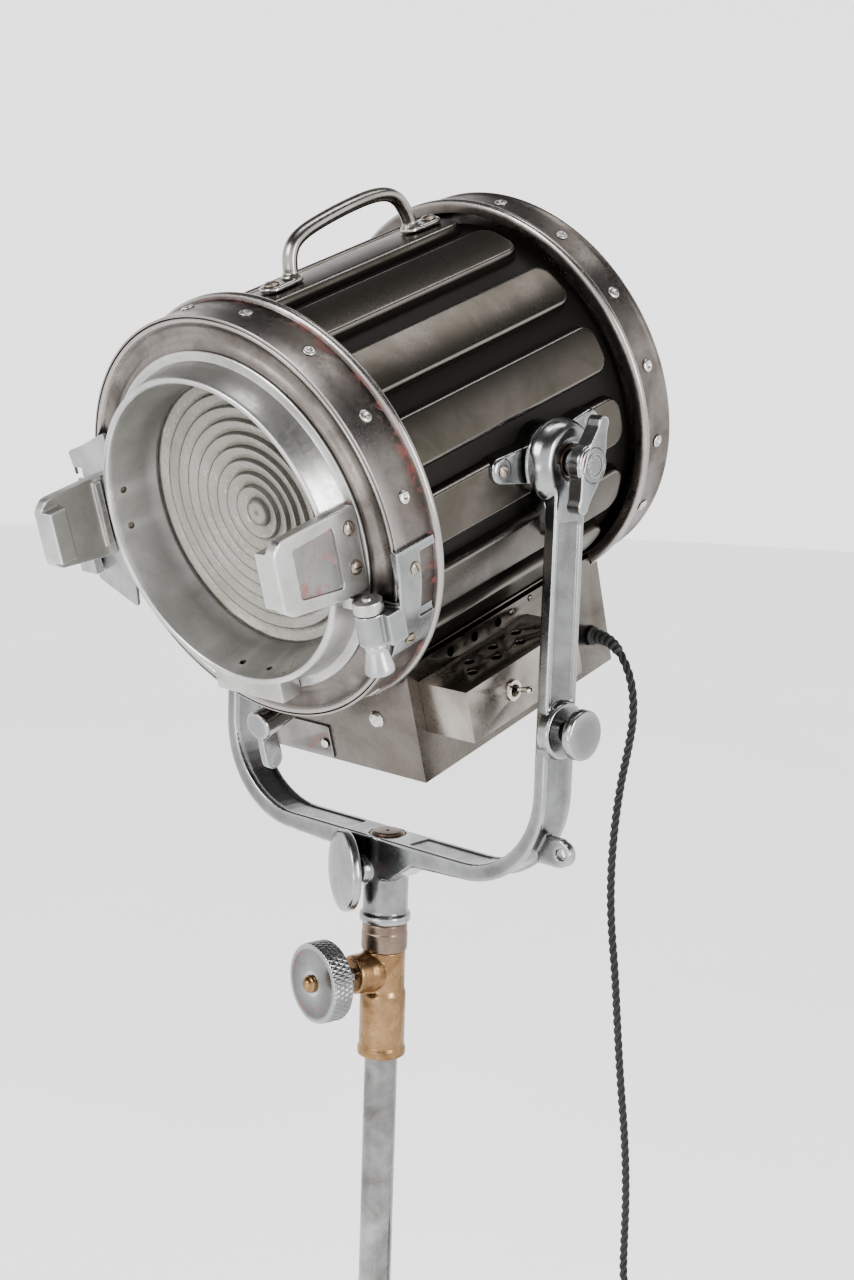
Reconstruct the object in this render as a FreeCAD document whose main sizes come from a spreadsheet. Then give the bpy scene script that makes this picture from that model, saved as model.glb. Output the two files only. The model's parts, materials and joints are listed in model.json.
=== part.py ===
import FreeCAD, Part
import math
import os
import re

import Sketcher
from FreeCAD import Placement, Rotation, Vector

# A fresnel spotlight on a stand riser: stand adaptor, panning yoke, tilting head, hinged lens door.
# Frame: +Z up along the riser, origin at the riser's lower end, +X along the tilt axis.
# The head's own frame has its origin on the tilt axis and looks along its -Y.

SIZES = {
    # riser and stand adaptor
    "riser_radius": 15.875,
    "riser_exposed": 261.0,
    "running_gap": 0.05,
    "washer_gap": 1.0,
    "body_gap": 0.3,
    "overcut": 1.0,
    "tenon_radius": 15.0,
    "tenon_length": 96.0,
    "riser_bore": 12.5,
    "riser_foot": 12.0,
    "adaptor_height": 105.5,
    "adaptor_radius": 22.0,
    "adaptor_waist": 20.5,
    "adaptor_lip_radius": 23.3,
    "adaptor_lip": 8.0,
    "adaptor_step": 64.0,
    "spigot_radius": 14.3,
    "spigot_stud": 8.0,
    "stud_depth": 10.0,
    "spigot_proud": 1.0,
    "spigot_chamfer": 1.5,
    "collar_radius": 22.0,
    "collar_height": 28.1,
    "clamp_rise": 85.0,
    "clamp_boss_radius": 19.0,
    "clamp_boss_reach": 38.0,
    "clamp_screw_radius": 6.5,
    "clamp_knob_radius": 38.4,
    "clamp_knob_back": 60.5,
    "clamp_knob_width": 22.0,
    "clamp_neck": 14.0,
    "clamp_neck_wall": 5.0,
    "screw_clearance": 0.6,
    "nut_radius": 8.5,
    "nut_height": 3.0,
    "nut_shoulder": 6.0,
    "nut_dome": 4.0,
    "nut_crown": 2.5,
    "nut_tip": 2.2,
    # yoke
    "crossbar_top": 480.0,
    "crossbar_depth": 16.0,
    "axis_rise": 371.0,
    "arm_inner": 190.5,
    "arm_outer": 203.0,
    "yoke_width": 40.0,
    "bend_inner": 80.0,
    "bend_outer": 92.0,
    "socket_radius": 21.5,
    "socket_depth": 85.0,
    "socket_bore": 17.0,
    "bush_bore": 14.4,
    "hub_inner": 183.5,
    "hub_base_radius": 38.0,
    "hub_face_radius": 29.0,
    "hub_bore": 16.0,
    "stub_radius": 14.0,
    "tilt_bush_bore": 14.1,
    "ear_reach": 212.0,
    "ear_rise": 27.0,
    "ear_radius": 11.5,
    "ear_hole": 5.0,
    "pan_screw_drop": 34.0,
    "pan_knob_radius": 38.8,
    "pan_knob_back": 36.0,
    "pan_knob_width": 12.0,
    "arm_knob_rise": 137.0,
    "arm_knob_radius": 22.5,
    "gusset_reach": 50.0,
    "gusset_drop": 19.0,
    "web_half": 21.0,
    "web_drop": 40.0,
    "socket_lip": 3.0,
    "socket_lip_height": 8.0,
    "arm_pad_radius": 26.0,
    "arm_pad": 6.0,
    "pan_boss_radius": 13.0,
    "pan_boss_reach": 27.0,
    "ear_half": 4.5,
    "ear_root_length": 26.0,
    "ear_root_reach": 34.0,
    "press_allowance": 0.02,
    "arm_screw_radius": 5.0,
    "arm_screw_length": 12.0,
    "arm_shank_radius": 10.0,
    "arm_knob_gap": 6.3,
    "arm_knob_face": 8.0,
    "knob_chamfer": 1.5,
    "pan_screw_radius": 6.5,
    "pan_screw_bore": 6.6,
    "pan_shank_radius": 11.0,
    "pan_shank_start": 29.5,
    "pan_knob_chamfer": 2.0,
    "tool_reach": 30.0,
    # tilt lock
    "tilt_screw_radius": 8.0,
    "tilt_screw_length": 40.0,
    "tilt_screw_grip": 4.0,
    "lever_half_width": 16.0,
    "lever_root": 12.0,
    "lever_tip": 6.5,
    "lever_reach": 43.0,
    "lever_thickness": 15.0,
    "lever_neck_radius": 13.0,
    "lever_neck": 8.0,
    "lever_hub_radius": 18.5,
    "lever_hub": 17.0,
    # side castings of the head
    "seat_reach": 150.0,
    "plate_gap": 1.0,
    "plate_radius": 34.0,
    "boss_radius": 12.0,
    "boss_step": 2.5,
    "web_step": 3.0,
    "web_width": 22.0,
    "stub_root": 4.0,
    "screw_head_radius": 5.5,
    "screw_crown_radius": 3.5,
    "screw_head_height": 2.6,
    "cap_radius": 17.0,
    "cap_face_radius": 12.0,
    "cap_depth": 8.0,
    "cap_dome": 4.0,
    "cap_plug_radius": 7.9,
    # top handle
    "handle_front": 92.0,
    "handle_rear": 62.0,
    "handle_crown": 221.0,
    "handle_shoulder": 205.0,
    "handle_bar_radius": 7.0,
    "handle_lift": 4.5,
    "foot_pitch": 24.0,
    "foot_radius": 11.0,
    "foot_gauge": 5.0,
    "foot_drop": 4.3,
    "handle_screw_hole": 3.2,
    "handle_screw_radius": 3.1,
    # head shell
    "barrel_radius": 176.0,
    "barrel_groove_radius": 168.5,
    "barrel_inner_radius": 165.0,
    "barrel_front": 160.0,
    "barrel_rear": 128.0,
    "band_radius": 183.0,
    "band_inner": 176.4,
    "strap_inner": 181.0,
    "bead_radius": 188.0,
    "front_edge": 204.0,
    "front_bead": 157.0,
    "rear_bead": 126.0,
    "rear_edge": 166.0,
    "rib_margin": 15.0,
    "groove_width": 13.0,
    "groove_reach": 20.0,
    "rib_hollow_width": 50.0,
    "rib_hollow_depth": 17.5,
    "rib_hollow_reach": 14.0,
    "lamp_slot_width": 120.0,
    "lamp_slot_length": 190.0,
    "pivot_hole_radius": 8.4,
    "across_all": 400.0,
    "front_rivets": 181.0,
    "rear_rivets": 146.0,
    "rivet_radius": 5.0,
    "rivet_crown": 3.0,
    "rivet_height": 2.2,
    "bead_half": 4.5,
    "bead_flank": 3.0,
    "cap_aperture": 138.0,
    # door
    "door_back": 205.0,
    "door_flange_front": 208.0,
    "door_flange_radius": 153.0,
    "door_rim": 235.0,
    "door_rim_radius": 139.5,
    "door_rim_inner": 133.5,
    "lens_opening": 121.0,
    "lens_radius": 126.5,
    "lens_front": 184.0,
    "lens_thickness": 15.0,
    "throat_radius": 131.0,
    "hinge_x": 160.0,
    "hinge_y": 224.0,
    "knuckle_radius": 13.0,
    "knuckle_top": 50.3,
    "knuckle_bottom": 77.0,
    "hinge_pin_radius": 4.5,
    "ear_height": 11.0,
    "ear_length": 28.0,
    "lens_seat_gap": 0.4,
    "lens_seat": 21.0,
    "clip_outer": 150.0,
    "clip_front": 303.0,
    "clip_back": 208.2,
    "clip_inner": 139.4,
    "clip_screw_radius": 3.0,
    "latch_gauge": 3.4,
    "catch_width": 17.0,
    "catch_pin_radius": 2.5,
    "bracket_gauge": 4.5,
    "pin_head_radius": 13.0,
    "pin_length": 43.0,
    # base box and switch box
    "base_half_width": 100.0,
    "base_front": 140.0,
    "base_rear": 132.0,
    "base_floor": 263.0,
    "sheet_gauge": 1.6,
    "switch_outer": 156.0,
    "switch_front": 127.0,
    "switch_rear": 25.0,
    "switch_top": 169.0,
    "switch_floor": 218.0,
    "toggle_y": 69.0,
    "toggle_z": 193.0,
    "box_height": 170.0,
    "gland_y": 109.0,
    "gland_z": 228.0,
    "gland_bore": 4.4,
    "gland_stem": 6.8,
    "gland_hole": 7.0,
    "gland_radius": 9.0,
    "gland_flange": 3.0,
    "gland_nose": 4.0,
    "side_vent_z": 160.0,
    "side_vent_radius": 4.5,
    "top_vent_radius": 5.0,
    "plate_left": 83.0,
    "plate_length": 70.0,
    "plate_height": 33.0,
    "plate_gauge": 1.6,
    "rivet_x": 20.6,
    "plate_rivet_z": 247.0,
    "base_screw_x": 52.0,
    "base_screw_z": 209.0,
    "base_screw_radius": 8.5,
    "bush_radius": 6.0,
    "bush_length": 10.0,
    "nut_ring_radius": 9.5,
    "nut_ring": 2.2,
    "lever_pivot": 3.0,
    "pivot_ball": 2.6,
    "pivot_pin_radius": 1.2,
    "pivot_pin_half": 3.2,
    "bat_root": 1.8,
    "bat_length": 23.0,
    "bat_tip": 3.2,
    # focus drive
    "focus_x": 38.0,
    "focus_z": 205.0,
    "focus_shaft_radius": 5.0,
    "rail_x": 70.0,
    "rail_z": 232.0,
    "rail_radius": 4.0,
    "lamp_y": 20.0,
    "drum_radius": 9.0,
    "drum_front": 100.0,
    "drum_length": 190.0,
    "shaft_front": 160.0,
    "shaft_run": 60.0,
    "shaft_tail": 34.0,
    "knob_hub": 52.0,
    "knob_hub_front": 14.0,
    "knob_face": 151.0,
    "knob_end": 203.0,
    "fin_width": 8.0,
    "fin_depth": 20.0,
    "fin_drop": 44.0,
    "fin_tip_radius": 10.0,
    "shaft_socket": 9.1,
    "bearing_width": 50.0,
    "bearing_height": 36.0,
    "bearing_gauge": 6.0,
    "bed_half_width": 82.0,
    "bed_length": 70.0,
    "bed_height": 16.0,
    "follower_half": 16.0,
    "follower_length": 24.0,
    "follower_height": 44.0,
    "post_width": 30.0,
    "post_height": 150.0,
    "stage_half": 30.0,
    "stage_top": 82.0,
    "stage_gauge": 6.0,
    # cord
    "cord_radius": 4.25,
    "coil_ring_radius": 44.0,
    "coil_bundle_radius": 13.0,
}
NOSE_DOWN = 16.7
CLAMP_TURN = -10.7
PAN_SCREW_TURN = -27.7
LEVER_LEAN = 18.0
BAT_LEAN = 80.0
RIB_COUNT = 16
RIVET_COUNT = 16
RIVET_PHASE = 11.25

doc = FreeCAD.newDocument("fresnel_spotlight")
sheet = doc.addObject("Spreadsheet::Sheet", "Sizes")
for row, (alias, value) in enumerate(SIZES.items(), start=1):
    sheet.set("A%d" % row, alias)
    sheet.set("B%d" % row, str(value))
    sheet.setAlias("B%d" % row, alias)
doc.recompute()

NODES = []
HEAD = Placement(Vector(0, 0, SIZES["crossbar_top"] + SIZES["axis_rise"]),
                 Rotation(Vector(1, 0, 0), NOSE_DOWN))
STILL = Placement()
AXES = {
    "X": Rotation(Vector(0, 1, 0), 90),
    "-X": Rotation(Vector(0, 1, 0), -90),
    "Y": Rotation(Vector(1, 0, 0), -90),
    "-Y": Rotation(Vector(1, 0, 0), 90),
    "Z": Rotation(),
    "-Z": Rotation(Vector(1, 0, 0), 180),
}


def turned(angle):
    """The direction -Y turned about +Z, for the radial hand screws."""
    return Rotation(Vector(0, 0, 1), angle).multiply(AXES["-Y"])


# ---- binding helpers -------------------------------------------------------------------------

def formula(text):
    """Turn the sheet's aliases in a formula into references to the sheet."""
    def reference(word):
        return "Sizes." + word.group() if word.group() in SIZES else word.group()
    return re.sub(r"[A-Za-z_][A-Za-z_0-9]*", reference, str(text))


def number(text):
    """The value of a formula: sums and products of aliases and numbers."""
    total = 0.0
    for sign, term in re.findall(r"([+-]?)\s*([^+-]+)", str(text)):
        product = 1.0
        divide = False
        for factor in re.split(r"\s*([*/])\s*", term.strip()):
            if factor == "/":
                divide = True
            elif factor != "*":
                value = SIZES[factor] if factor in SIZES else float(factor)
                product = product / value if divide else product * value
                divide = False
        total += -product if sign == "-" else product
    return total


def bind(item, prop, text):
    item.setExpression(prop, formula(text))


def place(item, at, rotation):
    item.Placement = Placement(Vector(*[number(value) for value in at]), rotation)
    for axis, value in zip("xyz", at):
        bind(item, "Placement.Base." + axis, value)


# ---- Part primitives -------------------------------------------------------------------------

def cylinder(radius, height, at=(0, 0, 0), axis="Z"):
    item = doc.addObject("Part::Cylinder", "cylinder")
    bind(item, "Radius", radius)
    bind(item, "Height", height)
    place(item, at, AXES[axis] if isinstance(axis, str) else axis)
    return item


def cone(radius_start, radius_end, height, at=(0, 0, 0), axis="Z"):
    item = doc.addObject("Part::Cone", "cone")
    bind(item, "Radius1", radius_start)
    bind(item, "Radius2", radius_end)
    bind(item, "Height", height)
    place(item, at, AXES[axis] if isinstance(axis, str) else axis)
    return item


def block(length, width, height, at):
    item = doc.addObject("Part::Box", "block")
    bind(item, "Length", length)
    bind(item, "Width", width)
    bind(item, "Height", height)
    place(item, at, Rotation())
    return item


def ball(radius, at):
    item = doc.addObject("Part::Sphere", "ball")
    bind(item, "Radius", radius)
    place(item, at, Rotation())
    return item


def fuse(*items):
    joined = doc.addObject("Part::MultiFuse", "fusion")
    joined.Shapes = list(items)
    return joined


def cut(base, *tools):
    result = doc.addObject("Part::Cut", "cut")
    result.Base = base
    result.Tool = tools[0] if len(tools) == 1 else fuse(*tools)
    return result


def group(*items):
    together = doc.addObject("Part::Compound", "group")
    together.Links = list(items)
    return together


def node(item, label, placement=STILL):
    item.Label = label
    item.Placement = placement
    NODES.append(item)
    return item


# ---- PartDesign bodies -----------------------------------------------------------------------

def new_body():
    return doc.addObject("PartDesign::Body", "body")


def sketch(body, role, outline, radii=None, circles=()):
    """A sketch on one of the body's own planes: a closed outline and any circles.

    outline is a list of (horizontal, vertical) formulas. radii gives, for the edge that starts at
    a point's index, the radius of an arc and the side its centre lies on (+1 left, -1 right).
    """
    plan = body.newObject("Sketcher::SketchObject", "sketch")
    plane = [feature for feature in body.Origin.OriginFeatures if feature.Role == role][0]
    plan.AttachmentSupport = [(plane, "")]
    plan.MapMode = "FlatFace"
    radii = radii or {}
    points = [Vector(number(h), number(v), 0) for h, v in outline]
    for index, start in enumerate(points):
        end = points[(index + 1) % len(points)]
        if index in radii:
            plan.addGeometry(arc_between(start, end, *radii[index]))
        else:
            plan.addGeometry(Part.LineSegment(start, end))
    for index in range(len(points)):
        before = (index - 1) % len(points)
        start_end = ends(radii, index)[0]
        plan.addConstraint(Sketcher.Constraint("Coincident", before, ends(radii, before)[1],
                                               index, start_end))
        for kind, text in zip(("DistanceX", "DistanceY"), outline[index]):
            constraint = plan.addConstraint(
                Sketcher.Constraint(kind, index, start_end, number(text)))
            plan.setExpression("Constraints[%d]" % constraint, formula(text))
        if index in radii:
            constraint = plan.addConstraint(
                Sketcher.Constraint("Radius", index, number(radii[index][0])))
            plan.setExpression("Constraints[%d]" % constraint, formula(radii[index][0]))
    for across, up, radius in circles:
        centre = Vector(number(across), number(up), 0)
        hole = plan.addGeometry(Part.Circle(centre, Vector(0, 0, 1), number(radius)))
        for kind, text in zip(("DistanceX", "DistanceY"), (across, up)):
            constraint = plan.addConstraint(Sketcher.Constraint(kind, hole, 3, number(text)))
            plan.setExpression("Constraints[%d]" % constraint, formula(text))
        constraint = plan.addConstraint(Sketcher.Constraint("Radius", hole, number(radius)))
        plan.setExpression("Constraints[%d]" % constraint, formula(radius))
    return plan


def ends(radii, index):
    """Start and end point numbers of an edge: a clockwise arc is stored the other way round."""
    return (2, 1) if index in radii and radii[index][1] < 0 else (1, 2)


def arc_between(start, end, radius, side):
    """The short arc from start to end whose centre lies to the left (+1) or right (-1)."""
    chord = end - start
    middle = (start + end) * 0.5
    normal = Vector(-chord.y, chord.x, 0).normalize()
    rise = math.sqrt(max(number(radius) ** 2 - (chord.Length / 2) ** 2, 0.0))
    centre = middle + normal * rise * side
    circle = Part.Circle(centre, Vector(0, 0, 1), number(radius))
    first, last = (start, end) if side > 0 else (end, start)
    angles = [math.atan2(point.y - centre.y, point.x - centre.x) for point in (first, last)]
    return Part.ArcOfCircle(circle, angles[0], angles[1])


def pad(body, plan, length, symmetric=False, backwards=False):
    item = body.newObject("PartDesign::Pad", "pad")
    item.Profile = plan
    bind(item, "Length", length)
    item.Midplane = symmetric
    item.Reversed = backwards
    return item


def pocket(body, plan, length, backwards=False):
    item = body.newObject("PartDesign::Pocket", "pocket")
    item.Profile = plan
    bind(item, "Length", length)
    item.Reversed = backwards
    return item


def revolve(body, plan, axis="H_Axis"):
    item = body.newObject("PartDesign::Revolution", "revolution")
    item.Profile = plan
    item.ReferenceAxis = (plan, [axis])
    item.Angle = 360
    return item


def turned_part(label, outline, placement=HEAD, radii=None):
    """A ring or dish turned about the head's optical axis: outline is (Y, radius)."""
    body = new_body()
    revolve(body, sketch(body, "YZ_Plane", outline, radii))
    return node(body, label, placement)


# ---- stand: riser, adaptor, spigot -----------------------------------------------------------

def make_riser():
    tube = fuse(cylinder("riser_radius", "riser_exposed"),
                cylinder("tenon_radius", "tenon_length", (0, 0, "riser_exposed")))
    bore = cylinder("riser_bore", "riser_exposed + tenon_length", (0, 0, "riser_foot"))
    node(cut(tube, bore), "riser_tube")


def make_adaptor():
    base = "riser_exposed"
    clamp_height = "riser_exposed + clamp_rise"
    casting = fuse(
        cylinder("adaptor_lip_radius", "adaptor_lip", (0, 0, base)),
        cylinder("adaptor_radius", "adaptor_step", (0, 0, base)),
        cylinder("adaptor_waist", "adaptor_height", (0, 0, base)),
        cylinder("clamp_boss_radius", "clamp_boss_reach", (0, 0, clamp_height), turned(CLAMP_TURN)))
    hollow = fuse(
        cylinder("tenon_radius + running_gap", "tenon_length + overcut", (0, 0, base)),
        cylinder("spigot_stud + running_gap", "adaptor_height", (0, 0, base)),
        cylinder("clamp_screw_radius + 2 * running_gap", "clamp_boss_reach + overcut",
                 (0, 0, clamp_height),
                 turned(CLAMP_TURN)))
    node(cut(casting, hollow), "adaptor_body")
    top = "riser_exposed + adaptor_height"
    collar = cut(cylinder("collar_radius", "collar_height", (0, 0, top)),
                 cylinder("spigot_radius + running_gap", "collar_height", (0, 0, top)))
    node(collar, "adaptor_collar")
    spigot_top = "crossbar_top + spigot_proud"
    spigot = fuse(cylinder("spigot_stud", "stud_depth", (0, 0, top + " - stud_depth")),
                  cylinder("spigot_radius", spigot_top + " - riser_exposed - adaptor_height",
                           (0, 0, top)),
                  cone("spigot_radius", "spigot_radius - spigot_chamfer", "spigot_chamfer",
                       (0, 0, spigot_top)))
    node(spigot, "spigot")


def along(reach, height, turn):
    """A point reach from the riser's axis along a hand screw's direction."""
    spin = math.radians(turn)
    return (reach * math.sin(spin), -reach * math.cos(spin), height)


def make_clamp():
    height = number("riser_exposed + clamp_rise")
    direction = turned(CLAMP_TURN)
    start = number("tenon_radius + screw_clearance")
    back = number("clamp_knob_back")
    neck = number("clamp_knob_back - clamp_neck")
    front = number("clamp_knob_back + clamp_knob_width")
    gap = number("running_gap")
    screw = cylinder("clamp_screw_radius", front - start, along(start, height, CLAMP_TURN), direction)
    node(screw, "clamp_screw", screw.Placement)
    disc = fuse(cylinder("clamp_knob_radius", "clamp_knob_width", along(back, height, CLAMP_TURN),
                         direction),
                cylinder("clamp_screw_radius + clamp_neck_wall", "clamp_neck",
                         along(neck, height, CLAMP_TURN), direction))
    bore = cylinder("clamp_screw_radius + running_gap", "clamp_neck + clamp_knob_width + 2 * overcut",
                    along(neck - number("overcut"), height, CLAMP_TURN), direction)
    node(cut(disc, bore), "clamp_knob")
    shoulder = front + gap + number("nut_height")
    crown = shoulder + number("nut_dome")
    nut = fuse(cylinder("nut_radius", "nut_height", along(front + gap, height, CLAMP_TURN), direction),
               cone("nut_radius", "nut_shoulder", "nut_dome",
                    along(shoulder, height, CLAMP_TURN), direction),
               cone("nut_shoulder", "nut_crown", "nut_tip", along(crown, height, CLAMP_TURN),
                    direction))
    node(nut, "clamp_nut")


# ---- yoke ------------------------------------------------------------------------------------

def make_fork():
    """The U of the yoke: two arms, two bends and the crossbar, 40 mm wide."""
    body = new_body()
    outline_points = [("0 - arm_inner + bend_inner", 0), ("0 - arm_inner", "bend_inner"),
                   ("0 - arm_inner", "axis_rise"), ("0 - arm_outer", "axis_rise"),
                   ("0 - arm_outer", "bend_outer - crossbar_depth"),
                   ("0 - arm_outer + bend_outer", "0 - crossbar_depth"),
                   ("0 - gusset_reach", "0 - gusset_drop"), ("0 - web_half", "0 - web_drop"),
                   ("web_half", "0 - web_drop"), ("gusset_reach", "0 - gusset_drop"),
                   ("arm_outer - bend_outer", "0 - crossbar_depth"),
                   ("arm_outer", "bend_outer - crossbar_depth"), ("arm_outer", "axis_rise"),
                   ("arm_inner", "axis_rise"), ("arm_inner", "bend_inner"),
                   ("arm_inner - bend_inner", 0)]
    radii = {0: ("bend_inner", -1), 4: ("bend_outer", 1), 10: ("bend_outer", 1),
             14: ("bend_inner", -1)}
    pad(body, sketch(body, "XZ_Plane", outline_points, radii), "yoke_width", symmetric=True)
    body.Placement.Base = Vector(0, 0, number("crossbar_top"))
    return body


def make_yoke():
    top = "crossbar_top"
    axis = "crossbar_top + axis_rise"
    pan_screw = "crossbar_top - pan_screw_drop"
    ear_height = "crossbar_top + ear_rise"
    knob_height = "crossbar_top + arm_knob_rise"
    hub_length = "arm_outer - hub_inner"
    ear_root = block("ear_root_length", "2 * ear_half", "ear_root_length",
                     ("ear_reach - ear_root_reach", "0 - ear_half",
                      "crossbar_top + ear_rise - ear_root_length / 2"))
    casting = fuse(
        make_fork(),
        cylinder("socket_radius", "socket_depth", (0, 0, "crossbar_top - socket_depth")),
        cylinder("socket_radius + socket_lip", "socket_lip_height",
                 (0, 0, "crossbar_top - socket_depth")),
        cone("hub_base_radius", "hub_face_radius", hub_length, ("hub_inner", 0, axis), "X"),
        cone("hub_base_radius", "hub_face_radius", hub_length, ("0 - hub_inner", 0, axis), "-X"),
        cylinder("arm_pad_radius", "arm_pad + 2 * overcut", ("arm_outer - 2 * overcut", 0, knob_height),
                 "X"),
        cylinder("pan_boss_radius", "pan_boss_reach", (0, 0, pan_screw), turned(PAN_SCREW_TURN)),
        cylinder("ear_radius", "2 * ear_half", ("ear_reach", "0 - ear_half", ear_height), "Y"),
        ear_root)
    hollow = fuse(
        cylinder("socket_bore", "socket_depth + 2 * overcut",
                 (0, 0, "crossbar_top - socket_depth - overcut")),
        cylinder("hub_bore", "tool_reach", ("hub_inner - overcut", 0, axis), "X"),
        cylinder("hub_bore", "tool_reach", ("0 - hub_inner + overcut", 0, axis), "-X"),
        cylinder("arm_screw_radius + 2 * running_gap", "tool_reach",
                 ("arm_outer - arm_screw_length / 2 - overcut", 0, knob_height), "X"),
        cylinder("pan_screw_bore", "tool_reach", (0, 0, pan_screw), turned(PAN_SCREW_TURN)),
        cylinder("pan_knob_radius + 1.7", "tool_reach",
                 along(34.6, number(pan_screw), PAN_SCREW_TURN), turned(PAN_SCREW_TURN)),
        cylinder("ear_hole", "tool_reach", ("ear_reach", "0 - tool_reach / 2", ear_height), "Y"))
    node(cut(casting, hollow), "yoke")
    ring = cut(cylinder("socket_bore - press_allowance", "socket_depth",
                        (0, 0, "crossbar_top - socket_depth")),
               cylinder("bush_bore", "socket_depth", (0, 0, "crossbar_top - socket_depth")),
               cylinder("pan_screw_bore + 2 * running_gap", "tool_reach", (0, 0, pan_screw),
                        turned(PAN_SCREW_TURN)))
    node(ring, "socket_bush")
    sleeves = []
    for axis_name, sign in (("X", ""), ("-X", "0 - ")):
        start = "%shub_inner" % sign
        sleeve = cut(cylinder("hub_bore - press_allowance", hub_length, (start, 0, axis), axis_name),
                     cylinder("tilt_bush_bore", hub_length, (start, 0, axis), axis_name))
        sleeves.append(sleeve)
    node(group(*sleeves), "tilt_bushes")


def make_pan_lock():
    height = number("crossbar_top - pan_screw_drop")
    direction = turned(PAN_SCREW_TURN)
    back = number("pan_knob_back")
    start = number("spigot_radius + screw_clearance")
    middle = number("pan_knob_width - 2 * pan_knob_chamfer")
    chamfer = number("pan_knob_chamfer")
    shank = number("pan_shank_start")
    knob = fuse(cylinder("pan_screw_radius", back + chamfer - start,
                         along(start, height, PAN_SCREW_TURN), direction),
                cylinder("pan_shank_radius", back - shank, along(shank, height, PAN_SCREW_TURN),
                         direction),
                cone("pan_knob_radius - pan_knob_chamfer", "pan_knob_radius", "pan_knob_chamfer",
                     along(back, height, PAN_SCREW_TURN), direction),
                cylinder("pan_knob_radius", middle, along(back + chamfer, height, PAN_SCREW_TURN),
                         direction),
                cone("pan_knob_radius", "pan_knob_radius - 1.5 * pan_knob_chamfer", "pan_knob_chamfer",
                     along(back + chamfer + middle, height, PAN_SCREW_TURN), direction))
    node(knob, "pan_lock_knob")


def make_arm_knob():
    height = "crossbar_top + arm_knob_rise"
    face = "arm_outer + arm_knob_gap"
    disc = face + " + arm_screw_length"
    knob = fuse(cylinder("arm_screw_radius", "arm_screw_length",
                         (face + " - arm_screw_length", 0, height), "X"),
                cylinder("arm_shank_radius", "arm_screw_length + overcut", (face, 0, height), "X"),
                cylinder("arm_knob_radius", "arm_knob_face", (disc, 0, height), "X"),
                cone("arm_knob_radius", "arm_knob_radius - knob_chamfer", "knob_chamfer",
                     (disc + " + arm_knob_face", 0, height), "X"))
    node(knob, "arm_knob")


# ---- tilt lock -------------------------------------------------------------------------------

def make_tilt_lock():
    axis = number("crossbar_top + axis_rise")
    face = number("arm_outer + washer_gap")
    root = face + number("lever_neck")
    screw = cylinder("tilt_screw_radius", "tilt_screw_length",
                     (face + number("tilt_screw_grip - tilt_screw_length"), 0, axis), "X")
    node(screw, "tilt_screw", screw.Placement)
    body = new_body()
    wing = [("0 - lever_root", "lever_half_width"), ("0 - lever_tip", "lever_reach"),
            ("lever_tip", "lever_reach"), ("lever_root", "lever_half_width"),
            ("lever_root", "0 - lever_half_width"), ("lever_tip", "0 - lever_reach"),
            ("0 - lever_tip", "0 - lever_reach"), ("0 - lever_root", "0 - lever_half_width")]
    pad(body, sketch(body, "YZ_Plane", wing), "lever_thickness")
    body.Placement = Placement(Vector(root, 0, axis), Rotation(Vector(1, 0, 0), -LEVER_LEAN))
    lever = cut(fuse(body,
                     cylinder("lever_neck_radius", "lever_neck + overcut", (face, 0, axis), "X"),
                     cylinder("lever_hub_radius", "lever_hub", (root - 1, 0, axis), "X")),
                cylinder("tilt_screw_radius + running_gap", "tilt_screw_grip + 2 * running_gap",
                         (face, 0, axis), "X"))
    node(lever, "tilt_lever")


# ---- head shell ------------------------------------------------------------------------------

def make_barrel():
    length = "barrel_front + barrel_rear"
    shell = cut(cylinder("barrel_radius", length, (0, "0 - barrel_front", 0), "Y"),
                cylinder("barrel_inner_radius", length, (0, "0 - barrel_front", 0), "Y"))
    cutters = []
    for index in range(RIB_COUNT):
        cutters.append(lengthwise_slot("groove_width", "groove_reach", "barrel_groove_radius",
                                       360.0 * (index + 0.5) / RIB_COUNT))
        cutters.append(lengthwise_slot("rib_hollow_width", "rib_hollow_reach",
                                       "barrel_radius - rib_hollow_depth", 360.0 * index / RIB_COUNT))
    lamp_slot = block("lamp_slot_width", "lamp_slot_length", "seat_reach",
                      ("0 - lamp_slot_width / 2", "0 - lamp_slot_length / 2",
                       "0 - barrel_radius - overcut"))
    pivot_holes = cylinder("pivot_hole_radius", "across_all", ("0 - across_all / 2", 0, 0), "X")
    node(cut(shell, lamp_slot, pivot_holes, *cutters), "barrel", HEAD)


def lengthwise_slot(width, height, radius, angle):
    """A box along the barrel whose floor lies at a radius, turned to an angle from the top."""
    slot = doc.addObject("Part::Box", "slot")
    bind(slot, "Length", width)
    bind(slot, "Width", "barrel_front + barrel_rear - 2 * rib_margin")
    bind(slot, "Height", height)
    spin = Rotation(Vector(0, 1, 0), angle)
    corner = Vector(-number(width) / 2, number("rib_margin - barrel_front"), number(radius))
    slot.Placement = Placement(spin.multVec(corner), spin)
    return slot


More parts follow.
